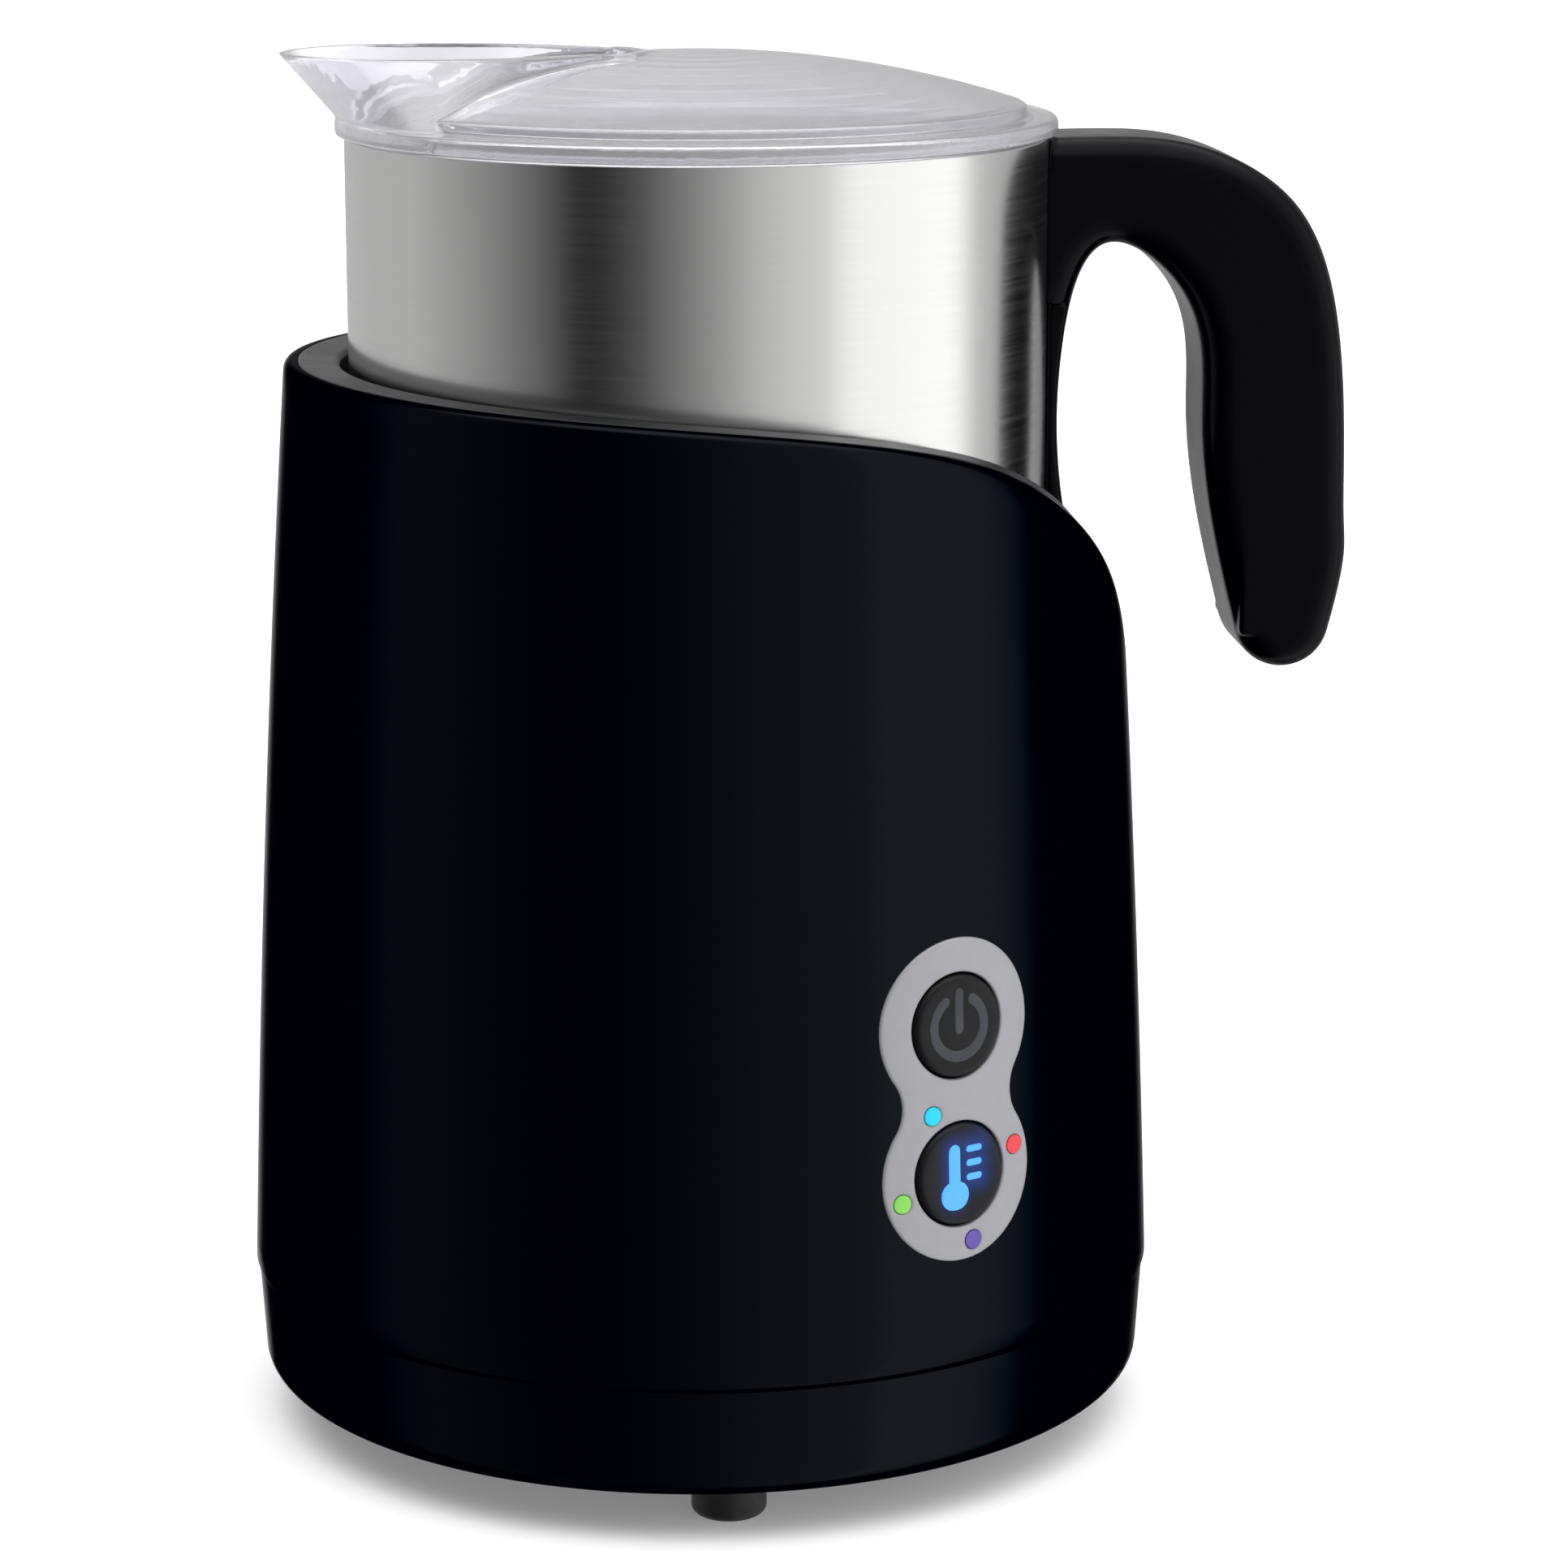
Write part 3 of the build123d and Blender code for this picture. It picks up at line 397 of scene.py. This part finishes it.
def turned(name, outline, segments=192, sharp=40):
    """A closed section (radius, height) turned round the jug's axis."""
    sections = []
    for i in range(segments):
        a = 2 * pi * i / segments
        sections.append([(r * cos(a), r * sin(a), z) for r, z in outline])
    return piece(name, *rings(sections), sharp)


def combine(target, other, operation="DIFFERENCE"):
    """Cuts one mesh out of another or joins it on, and throws it away."""
    step = target.modifiers.new("combine", "BOOLEAN")
    step.operation = operation
    step.solver = "EXACT"
    step.object = other
    graph = bpy.context.evaluated_depsgraph_get()
    done = bpy.data.meshes.new_from_object(target.evaluated_get(graph))
    target.modifiers.clear()
    target.data = done
    bpy.data.objects.remove(other)


def softened(name, sources, voxel, rounds):
    """CAD nodes' joint form with its edges rounded over, as on a moulding."""
    joined = bmesh.new()
    for source in sources:
        joined.from_mesh(NODES[source].data)
    bmesh.ops.remove_doubles(joined, verts=joined.verts, dist=1e-6)
    mesh = bpy.data.meshes.new(name)
    joined.to_mesh(mesh)
    joined.free()
    copy = bpy.data.objects.new(name, mesh)
    bpy.context.scene.collection.objects.link(copy)
    skin = copy.modifiers.new("skin", "REMESH")
    skin.mode = "VOXEL"
    skin.voxel_size = voxel * MM
    relax = copy.modifiers.new("relax", "SMOOTH")
    relax.factor = 0.5
    relax.iterations = rounds
    graph = bpy.context.evaluated_depsgraph_get()
    done = bpy.data.meshes.new_from_object(copy.evaluated_get(graph))
    copy.modifiers.clear()
    copy.data = done
    for face in copy.data.polygons:
        face.use_smooth = True
    return copy


# --- base -------------------------------------------------------------------
HOUSING_LOW, HOUSING_HIGH = extent("outer_housing")
JUG_LOW, JUG_HIGH = extent("jug_body")
JUG_R = JUG_HIGH.y
SEAM = HOUSING_LOW.z
RIM_TOP = JUG_HIGH.z - 32.0
SIDE_LOW, SIDE_HIGH, SIDE_BULGE = HOUSING_HIGH.x, HOUSING_HIGH.x - 7.0, 0.65
SHELL = 2.0                  # wall thickness of the mouldings
RIM_DROP = 44.0              # fall of the rim from its top to the handle's side
RIM_EDGE = 1.1               # rounding of the rim's outer edge
SEAM_EDGE = 0.35             # rounding of the housing's lower edge
LAND_SEAM = 0.12             # fine gap between the housing and the liner's rim
WELL_GAP = 1.2               # from the jug to the liner
FLANGE = 2.2                 # thickness of the liner's rim


def side_radius(z):
    """Radius of the housing's side: a taper with a slight bulge."""
    t = (z - SEAM) / (RIM_TOP - SEAM)
    return SIDE_LOW + (SIDE_HIGH - SIDE_LOW) * t + 4 * SIDE_BULGE * t * (1 - t)


def natural_spline(xs, ys):
    """Smooth curve through points, as a function."""
    n = len(xs) - 1
    h = [xs[i + 1] - xs[i] for i in range(n)]
    lower, diagonal, right = [0.0] * (n + 1), [1.0] * (n + 1), [0.0] * (n + 1)
    for i in range(1, n):
        right[i] = 3 * ((ys[i + 1] - ys[i]) / h[i] - (ys[i] - ys[i - 1]) / h[i - 1])
        diagonal[i] = 2 * (h[i - 1] + h[i]) - h[i - 1] * lower[i - 1]
        lower[i] = h[i] / diagonal[i]
        right[i] = (right[i] - h[i - 1] * right[i - 1]) / diagonal[i]
    second = [0.0] * (n + 1)
    for i in range(n - 1, -1, -1):
        second[i] = right[i] - lower[i] * second[i + 1]

    def at(x):
        i = max(k for k in range(n) if k == 0 or xs[k] <= x)
        d = x - xs[i]
        slope = (ys[i + 1] - ys[i]) / h[i] - h[i] * (second[i + 1] + 2 * second[i]) / 3
        return ys[i] + slope * d + second[i] * d * d + (second[i + 1] - second[i]) * d**3 / (3 * h[i])

    return at


def rim_curve():
    """Rim height by place along X: level, then falling away to the handle."""
    reach = SIDE_HIGH + 2.6
    # share of the reach along X, and share of the drop that the rim has fallen
    shape = (
        (-0.485, 0.018), (0, 0.059), (0.356, 0.125), (0.615, 0.236),
        (0.817, 0.443), (0.947, 0.727), (1, 1),
    )
    beyond = 90.0
    points = [(-beyond, RIM_TOP + 1.0)]
    points += [(share * reach, RIM_TOP - fall * RIM_DROP) for share, fall in shape]
    points.append((beyond, RIM_TOP - 2 * RIM_DROP))
    along = [0.0]
    for (x0, z0), (x1, z1) in zip(points, points[1:]):
        along.append(along[-1] + sqrt((x1 - x0) ** 2 + (z1 - z0) ** 2))
    by_x = natural_spline(along, [p[0] for p in points])
    by_z = natural_spline(along, [p[1] for p in points])
    steps = 600
    table = [(by_x(along[-1] * i / steps), by_z(along[-1] * i / steps)) for i in range(steps + 1)]

    def height(x):
        for (x0, z0), (x1, z1) in zip(table, table[1:]):
            if x <= x1:
                return z0 + (z1 - z0) * (x - x0) / (x1 - x0)
        return table[-1][1]

    return height


RIM = rim_curve()


def rim_at(angle, inset):
    """Radius and height of the rim's surface, inset from the outer wall."""
    z = RIM_TOP - RIM_DROP / 2
    for _ in range(24):
        r = side_radius(z) - inset
        z += 0.6 * (RIM(r * cos(angle)) - z)
    return side_radius(z) - inset, z


def housing():
    """Outer shell: arched side, rounded rim edge and a land to the liner."""
    segments, rows = 360, 48
    foot = side_radius(SEAM)
    sections = []
    for i in range(segments):
        a = 2 * pi * i / segments
        _, top = rim_at(a, 0)
        top -= RIM_EDGE
        section = [(foot - SHELL, SEAM), (foot - SEAM_EDGE, SEAM), (foot - 0.1, SEAM + 0.1)]
        for k in range(rows + 1):
            z = SEAM + SEAM_EDGE + (top - SEAM - SEAM_EDGE) * k / rows
            section.append((side_radius(z), z))
        for k in range(1, 8):
            turn = pi / 2 * k / 7
            inset = RIM_EDGE * (1 - cos(turn))
            r, z = rim_at(a, inset)
            section.append((r, z - RIM_EDGE * (1 - sin(turn))))
        r, z = rim_at(a, SHELL - LAND_SEAM)
        section.append((r, z))
        section.append((r - LAND_SEAM / 2, z - 0.15))
        for k in range(rows // 4 + 1):
            z_in = z - 0.5 + (SEAM + 1.0 - z) * k / (rows // 4)
            section.append((side_radius(z_in) - SHELL, z_in))
        sections.append([(r * cos(a), r * sin(a), z) for r, z in section])
    return piece("housing", *rings(sections))


def box_mesh(name, low, high, edge):
    """Upright block with rounded vertical edges, as a cutter or a filler."""
    corners = [(high[0] - edge, high[1] - edge, 0), (low[0] + edge, high[1] - edge, 90)]
    corners += [(low[0] + edge, low[1] + edge, 180), (high[0] - edge, low[1] + edge, 270)]
    outline = [p for x, y, start in corners for p in arc(x, y, edge, start, start + 90, 8)]
    low_ring = [(x, y, low[2]) for x, y in outline]
    high_ring = [(x, y, high[2]) for x, y in outline]
    count = len(outline)
    faces = [(k, (k + 1) % count, count + (k + 1) % count, count + k) for k in range(count)]
    faces += [tuple(range(count - 1, -1, -1)), tuple(range(count, 2 * count))]
    return piece(name, low_ring + high_ring, faces)


def post(name, at, radius, low, high):
    """Upright cylinder, as a cutter or a filler."""
    reach = Vector((radius, radius, 0))
    return box_mesh(name, (*(at - reach).xy, low), (*(at + reach).xy, high), radius)


def liner():
    """Well liner: rim flange, then a wall down to the well's floor."""
    low, _ = extent("well_liner")
    well = JUG_R + WELL_GAP
    floor_z = JUG_LOW.z - 1.5
    corner = 1.5
    segments = 360
    sections = []
    for i in range(segments):
        a = 2 * pi * i / segments
        section = []
        for k in range(9):
            inset = SHELL + LAND_SEAM / 2 + (side_radius(RIM_TOP) - well - 3.1) * k / 8
            section.append(rim_at(a, inset))
        start_r, _ = section[-1]
        lip = start_r - well
        for k in range(1, 7):
            turn = pi / 2 * k / 6
            r = start_r - lip * sin(turn)
            section.append((r, RIM(r * cos(a)) - 0.9 * (1 - cos(turn))))
        top = section[-1][1]
        section += [(well, top + (floor_z + corner - top) * k / 10) for k in range(1, 11)]
        section += arc(well - corner, floor_z + corner, corner, 0, -90, 4)[1:]
        section += [(0.5, floor_z), (0.5, low.z), (well + SHELL, low.z)]
        outer_r, outer_z = section[0]
        section += [(well + SHELL, outer_z - FLANGE - 2), (outer_r, outer_z - FLANGE)]
        sections.append([(r * cos(a), r * sin(a), z) for r, z in section])
    cup = piece("liner", *rings(sections))

    # pocket for the foot of the handle: its wall is added, then it is cut out
    key_out, key_half, key_low = well + 5.4, 9.1, JUG_HIGH.z - 71.5
    side, end = 1.4, 1.7
    from_corner = (well + 0.7, -key_half - side, key_low - SHELL)
    to_corner = (key_out + end, key_half + side, key_low + 4)
    combine(cup, box_mesh("wall", from_corner, to_corner, 0.4), "UNION")
    from_corner = (well - 10, -key_half, key_low)
    to_corner = (key_out, key_half, RIM_TOP + 10)
    combine(cup, box_mesh("pocket", from_corner, to_corner, 1.5))

    # hole for the sensor, and three pads that carry the jug
    cap_low, cap_high = extent("sensor_cap")
    combine(cup, post("hole", (cap_low + cap_high) / 2, 3.5, low.z - 1, floor_z + 1))
    circle = JUG_R * 0.7
    for azimuth in (60, 180, 300):
        at = Vector((circle * cos(radians(azimuth)), circle * sin(radians(azimuth)), 0))
        combine(cup, post("pad", at, 3.0, low.z + 0.5, JUG_LOW.z - 0.3), "UNION")
    return cup


def jug():
    """Jug: thin wall, rounded bottom corner and a rounded lip."""
    radius, low, high = JUG_R, JUG_LOW.z, JUG_HIGH.z
    wall, bottom, corner, lip = 0.8, 1.0, 4.0, 0.5
    outline = [(0.0, low), (radius * 0.5, low)]
    outline += arc(radius - corner, low + corner, corner, -90, 0, 8)
    outline += [(radius, low + (high - low) * k / 12) for k in range(1, 12)]
    outline += arc(radius - lip, high - lip, lip, 0, 180, 10)
    outline += [(radius - wall, high - 2.5)]
    inner = corner - wall
    outline += arc(radius - wall - inner, low + bottom + inner, inner, 0, -90, 8)
    outline += [(0.0, low + bottom)]
    return turned("jug", outline, 256)


# --- controls ---------------------------------------------------------------
PANEL_AZIMUTH = radians(-61.0)
POWER_LOW, POWER_HIGH = extent("power_button")
MODE_LOW, MODE_HIGH = extent("mode_button")
POWER_Z = (POWER_LOW.z + POWER_HIGH.z) / 2
MODE_Z = (MODE_LOW.z + MODE_HIGH.z) / 2
BUTTON_R = (POWER_HIGH.z - POWER_LOW.z) / 2 - 1.0
BUTTON_GAP = 0.3
BUTTON_EDGE = 0.9            # rounding of a key's edge
BUTTON_PROUD = 0.55          # height of a key over the wall
BUTTON_DISH = 0.22           # depth of the hollow in its face
BUTTON_STEPS = 96
LOBE_R = BUTTON_R + 5.1
WAIST = LOBE_R - 3.2         # half width of the plate between its lobes
PLATE_PROUD = 0.25
PLATE_SINK = 0.6
DOT_R = 1.3
DOT_CIRCLE = BUTTON_R + 2.7
DOTS = {"cyan": 117.0, "red": 14.0, "green": 197.0, "violet": 281.0}
# the thermometer on the mode key, from the middle of the key
STEM = [(-1.2, 3.4 - 6.0 * k / 12) for k in range(13)]
BULB_AT = (-1.2, -2.9)
TICK_HEIGHTS = (3.4, 1.4, -0.6)
TICK_ACROSS = [1.25 + 1.7 * k / 4 for k in range(5)]
GLOW_REACH = 1.9


def on_wall(u, v, proud):
    """A point (u, v) of the panel's flat drawing laid on the curved wall."""
    radius = side_radius(v) + proud
    out = sqrt(max(radius**2 - u**2, 0.0))
    c, s = cos(PANEL_AZIMUTH), sin(PANEL_AZIMUTH)
    return (out * c - u * s, out * s + u * c, v)


def circle_line(u, v, radius, count=72):
    turns = [2 * pi * i / count for i in range(count)]
    return [(u + radius * cos(t), v + radius * sin(t)) for t in turns]


def dot_place(colour):
    angle = radians(DOTS[colour])
    return DOT_CIRCLE * cos(angle), MODE_Z + DOT_CIRCLE * sin(angle)


def plate_line(grow=0.0):
    """Outline of the control plate: two lobes joined by a waist."""
    lobe, waist = LOBE_R + grow, WAIST + grow
    half = (POWER_Z - MODE_Z) / 2
    middle = (POWER_Z + MODE_Z) / 2
    neck = (waist**2 + half**2 - lobe**2) / (2 * (lobe - waist))
    meet = degrees(atan2(half, waist + neck))
    top = arc(0, middle + half, lobe, -meet, 180 + meet, 64)
    left = arc(-waist - neck, middle, neck, meet, -meet, 16)
    low = arc(0, middle - half, lobe, 180 - meet, 360 + meet, 64)
    right = arc(waist + neck, middle, neck, 180 + meet, 180 - meet, 16)
    return top[:-1] + left[:-1] + low[:-1] + right[:-1]


def inside(point, line):
    """Whether a closed line goes round a point."""
    x, y = point
    hit = False
    for (x0, y0), (x1, y1) in zip(line, line[1:] + line[:1]):
        if (y0 > y) != (y1 > y) and x < x0 + (y - y0) * (x1 - x0) / (y1 - y0):
            hit = not hit
    return hit


def near(point, line, gap):
    """Whether a point lies closer than the gap to a point of the line."""
    return any((point[0] - x) ** 2 + (point[1] - y) ** 2 < gap * gap for x, y in line)


def inlay(name, outer, holes, profile, step=1.1):
    """A flat drawing with holes, laid on the wall with worked edges.

    profile(grow) lists (grow, proud) pairs from the sunk edge to the top.
    """
    lines = [outer(profile[-1][0])] + [hole(-profile[-1][0]) for hole in holes]
    flat = [point for line in lines for point in line]
    edges, start = [], 0
    for line in lines:
        edges += [(start + i, start + (i + 1) % len(line)) for i in range(len(line))]
        start += len(line)

    def within(point):
        return inside(point, lines[0]) and not any(inside(point, hole) for hole in lines[1:])

    us, vs = [p[0] for p in lines[0]], [p[1] for p in lines[0]]
    grid = []
    for i in range(int((max(us) - min(us)) / step) + 1):
        for j in range(int((max(vs) - min(vs)) / step) + 1):
            point = (min(us) + i * step, min(vs) + j * step)
            if within(point) and not near(point, flat, step * 0.5):
                grid.append(point)
    points = [Vector(p) for p in flat + grid]
    found, _, faces, _, _, _ = delaunay_2d_cdt(points, edges, [], 0, 1e-6)
    kept = []
    for face in faces:
        middle = sum((found[k] for k in face), Vector((0, 0))) / len(face)
        if within(middle):
            kept.append(tuple(face))
    verts = [on_wall(p.x, p.y, profile[-1][1]) for p in found]
    for maker, sign in [(outer, 1)] + [(hole, -1) for hole in holes]:
        loops = [[on_wall(u, v, proud) for u, v in maker(sign * grow)] for grow, proud in profile]
        for low, high in zip(loops, loops[1:]):
            base, count = len(verts), len(low)
            top = base + count
            verts += low + high
            for k in range(count):
                m = (k + 1) % count
                kept.append((base + k, base + m, top + m, top + k))
    return piece(name, verts, kept, 35)


def round_hole(u, v, radius, count=72):
    """A maker of a round hole's line, for any growth."""
    return lambda grow: circle_line(u, v, radius + grow, count)


def plate():
    """Control plate, open for both keys and the four indicators."""
    holes = [round_hole(0, z, BUTTON_R + BUTTON_GAP) for z in (POWER_Z, MODE_Z)]
    holes += [round_hole(*dot_place(colour), DOT_R + 0.05, 28) for colour in DOTS]
    edge = [(0.0, -PLATE_SINK), (0.0, 0.0), (-0.1, 0.15), (-0.25, 0.22), (-0.45, PLATE_PROUD)]
    return inlay("control_plate", plate_line, holes, edge)


def dot(colour):
    edge = [(0.0, -PLATE_SINK), (0.0, 0.2), (-0.08, 0.26), (-0.25, 0.27)]
    return inlay(f"dot_{colour}", round_hole(*dot_place(colour), DOT_R, 28), [], edge, 0.6)


def button(name, z):
    """Round key: a soft edge and a slightly dished face."""
    rows = [(BUTTON_R - 0.02, -4.0), (BUTTON_R, -0.6)]
    edge = BUTTON_EDGE
    for t in [pi / 2 * k / 8 for k in range(9)]:
        rows.append((BUTTON_R - edge * (1 - cos(t)), BUTTON_PROUD - edge * (1 - sin(t))))
    face_r = BUTTON_R - edge
    for k in range(1, 12):
        sunk = BUTTON_DISH * sin(pi / 2 * min(1, k / 6)) ** 2
        rows.append((face_r * (1 - k / 12), BUTTON_PROUD - sunk))
    count = BUTTON_STEPS
    loops = [[on_wall(u, v, proud) for u, v in circle_line(0, z, r, count)] for r, proud in rows]
    verts, faces = rings(loops, closed=False)
    verts.append(on_wall(0, z, rows[-1][1]))
    last = (len(loops) - 1) * count
    faces += [(last + k, last + (k + 1) % count, len(verts) - 1) for k in range(count)]
    faces.append(tuple(range(count - 1, -1, -1)))
    return piece(name, verts, faces, 50)


def dish_height(u, v, z):
    """Height of the button's dished face over the wall."""
    share = 1 - sqrt(u * u + (v - z) ** 2) / (BUTTON_R - BUTTON_EDGE)
    return BUTTON_PROUD - BUTTON_DISH * sin(pi / 2 * min(1, max(0, share) * 2)) ** 2


def mark(name, z, lines):
    """A symbol standing a little proud of the button's face."""
    edge = ((0.0, -0.3), (0.0, 0.03), (-0.08, 0.08), (-0.2, 0.1))
    verts, faces = [], []
    for line in lines:
        loops = []
        for grow, rise in edge:
            loops.append([on_wall(u, v + z, dish_height(u, v + z, z) + rise) for u, v in line(grow)])
        base = len(verts)
        made, skins = rings(loops, closed=False)
        verts += made
        faces += [tuple(base + k for k in face) for face in skins]
        count = len(loops[0])
        top = base + count * (len(loops) - 1)
        for k in range(count // 2 - 1):
            far = count - 1 - k
            faces.append((top + k, top + k + 1, top + far - 1, top + far))
            faces.append((base + far, base + far - 1, base + k + 1, base + k))
    return piece(name, verts, faces, 60)


def round_end(at, towards, radius, steps=8):
    """Points of a half circle round a stroke's end, clockwise."""
    start = atan2(towards[1] - at[1], towards[0] - at[0])
    turns = [start - pi * k / steps for k in range(1, steps)]
    return [(at[0] + radius * cos(t), at[1] + radius * sin(t)) for t in turns]


def stroke(points, width):
    """A maker of a round-ended stroke along points, for any growth."""
    def made(grow):
        half = width / 2 + grow
        left, right = [], []
        for i, (x, y) in enumerate(points):
            before, after = points[max(i - 1, 0)], points[min(i + 1, len(points) - 1)]
            dx, dy = after[0] - before[0], after[1] - before[1]
            size = sqrt(dx * dx + dy * dy)
            nx, ny = -dy / size, dx / size
            left.append((x + nx * half, y + ny * half))
            right.append((x - nx * half, y - ny * half))
        end = round_end(points[-1], left[-1], half)
        start = round_end(points[0], right[0], half)
        turn = len(start) // 2
        return start[turn + 1:] + left + end + right[::-1] + start[:turn + 1]

    return made


def power_symbol():
    """An open ring with a bar through its gap."""
    ring_r, width = 4.2, 1.5
    turns = [radians(a) for a in range(122, 419, 8)]
    ring = [(ring_r * cos(t), ring_r * sin(t)) for t in turns]
    bar = [(0.0, 4.6 - 5.0 * k / 10) for k in range(11)]
    return mark("power_symbol", POWER_Z, [stroke(ring, width), stroke(bar, width)])


def mode_symbol():
    """A thermometer: stem, bulb and three ticks."""
    bulb = [(BULB_AT[0] - 0.35 + 0.7 * k / 4, BULB_AT[1]) for k in range(5)]
    parts = [stroke(STEM, 1.9), stroke(bulb, 4.0)]
    parts += [stroke([(x, y) for x in TICK_ACROSS], 0.95) for y in TICK_HEIGHTS]
    return mark("mode_symbol", MODE_Z, parts)


def prism(name, line, low, high):
    """A flat drawing made thick along the wall's normal, as a cutter."""
    verts = [on_wall(u, v, low) for u, v in line] + [on_wall(u, v, high) for u, v in line]
    count = len(line)
    faces = [(k, (k + 1) % count, count + (k + 1) % count, count + k) for k in range(count)]
    faces += [tuple(range(count - 1, -1, -1)), tuple(range(count, 2 * count))]
    return piece(name, verts, faces)


def open_panel(shell):
    """Sinks the plate's recess and the keys' holes into the housing."""
    combine(shell, prism("cutter", plate_line(0.1), -PLATE_SINK, 3.0))
    for z in (POWER_Z, MODE_Z):
        combine(shell, prism("cutter", circle_line(0, z, BUTTON_R + BUTTON_GAP), -6.0, 3.0))


# --- whisk ------------------------------------------------------------------
def whisk_spring():
    """The sprung wire ring round the whisk, as a coil bent into a circle."""
    low, high = extent("whisk_coil")
    turns, per_turn, sides, wire = 62, 14, 6, 0.25
    middle_z = (low.z + high.z) / 2
    loop_r = (high.z - low.z) / 2 - wire
    ring_r = high.x - loop_r - wire
    spokes = [2 * pi * k / sides for k in range(sides)]
    sections = []
    for i in range(turns * per_turn):
        a = 2 * pi * i / (turns * per_turn)
        b = a * turns
        out = Vector((cos(a), sin(a), 0))
        middle = out * (ring_r + loop_r * cos(b)) + Vector((0, 0, middle_z + loop_r * sin(b)))
        normal = out * cos(b) + Vector((0, 0, sin(b)))
        along = Vector((-sin(a), cos(a), 0))
        sections.append([tuple(middle + (normal * cos(t) + along * sin(t)) * wire) for t in spokes])
    return piece("whisk_spring", *rings(sections))


def lit_key():
    """The mode key: its face glows softly round the lit symbol."""
    made = button("mode_key_cap", MODE_Z)
    spots = STEM + [BULB_AT] + [(x, y) for x in TICK_ACROSS for y in TICK_HEIGHTS]
    face_from = side_radius(MODE_Z) - 1.5
    glow = made.data.attributes.new("glow", "FLOAT", "POINT")
    c, s = cos(PANEL_AZIMUTH), sin(PANEL_AZIMUTH)
    for vertex, value in zip(made.data.vertices, glow.data):
        x, y, z = vertex.co / MM
        u, v = y * c - x * s, z - MODE_Z
        away = min(sqrt((u - a) ** 2 + (v - b) ** 2) for a, b in spots)
        value.value = exp(-((away / GLOW_REACH) ** 2)) if x * c + y * s > face_from else 0.0
    return made


def lit_button_black(base):
    """The keys' plastic with light where the key's glow says so."""
    made = base.copy()
    made.name = "button_lit"
    tree = made.node_tree
    shader = tree.nodes["Principled BSDF"]
    shader.inputs["Emission Color"].default_value = (0.01, 0.09, 0.6, 1)
    glow = node(tree, "ShaderNodeAttribute", attribute_name="glow")
    soft = maths(tree, "MULTIPLY", glow.outputs["Fac"], 0.35)
    link(tree, soft, shader.inputs["Emission Strength"])
    return made


def show(made, body, slot, *nodes):
    """Puts a finished piece in place of its CAD nodes."""
    made.data.materials.clear()
    made.data.materials.append(MATERIALS[slot])
    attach(made, body)
    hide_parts(*nodes)


def build():
    """Makes every shown piece and puts it in place of its CAD nodes."""
    shell = housing()
    open_panel(shell)
    shell.data.set_sharp_from_angle(angle=radians(35))
    show(shell, "base", "gloss_black", "outer_housing")
    show(liner(), "base", "rim_black", "well_liner")
    show(jug(), "jug", "jug_steel", "jug_body")
    show(plate(), "base", "plate_silver", "bezel_plate")
    for colour in DOTS:
        show(dot(colour), "base", f"dot_{colour}", f"indicator_{colour}")
    show(button("power_key_cap", POWER_Z), "power_key", "button_black", "power_button")
    mode_key = lit_key()
    show(mode_key, "mode_key", "button_black", "mode_button")
    mode_key.data.materials[0] = lit_button_black(MATERIALS["button_black"])
    show(power_symbol(), "power_key", "icon_grey", "power_icon")
    show(mode_symbol(), "mode_key", "icon_blue", "mode_icon")
    grip = ("handle_shell", "handle_cover")
    show(softened("handle", grip, 0.3, 16), "jug", "handle_black", *grip)
    show(softened("lid", ("lid_cover",), 0.34, 7), "lid", "lid_clear", "lid_cover")
    show(whisk_spring(), "whisk", "spring_steel", "whisk_coil")


camera()
studio_world()
floor()
MATERIALS = dress()
build()
bpy.context.scene.view_settings.view_transform = "Standard"
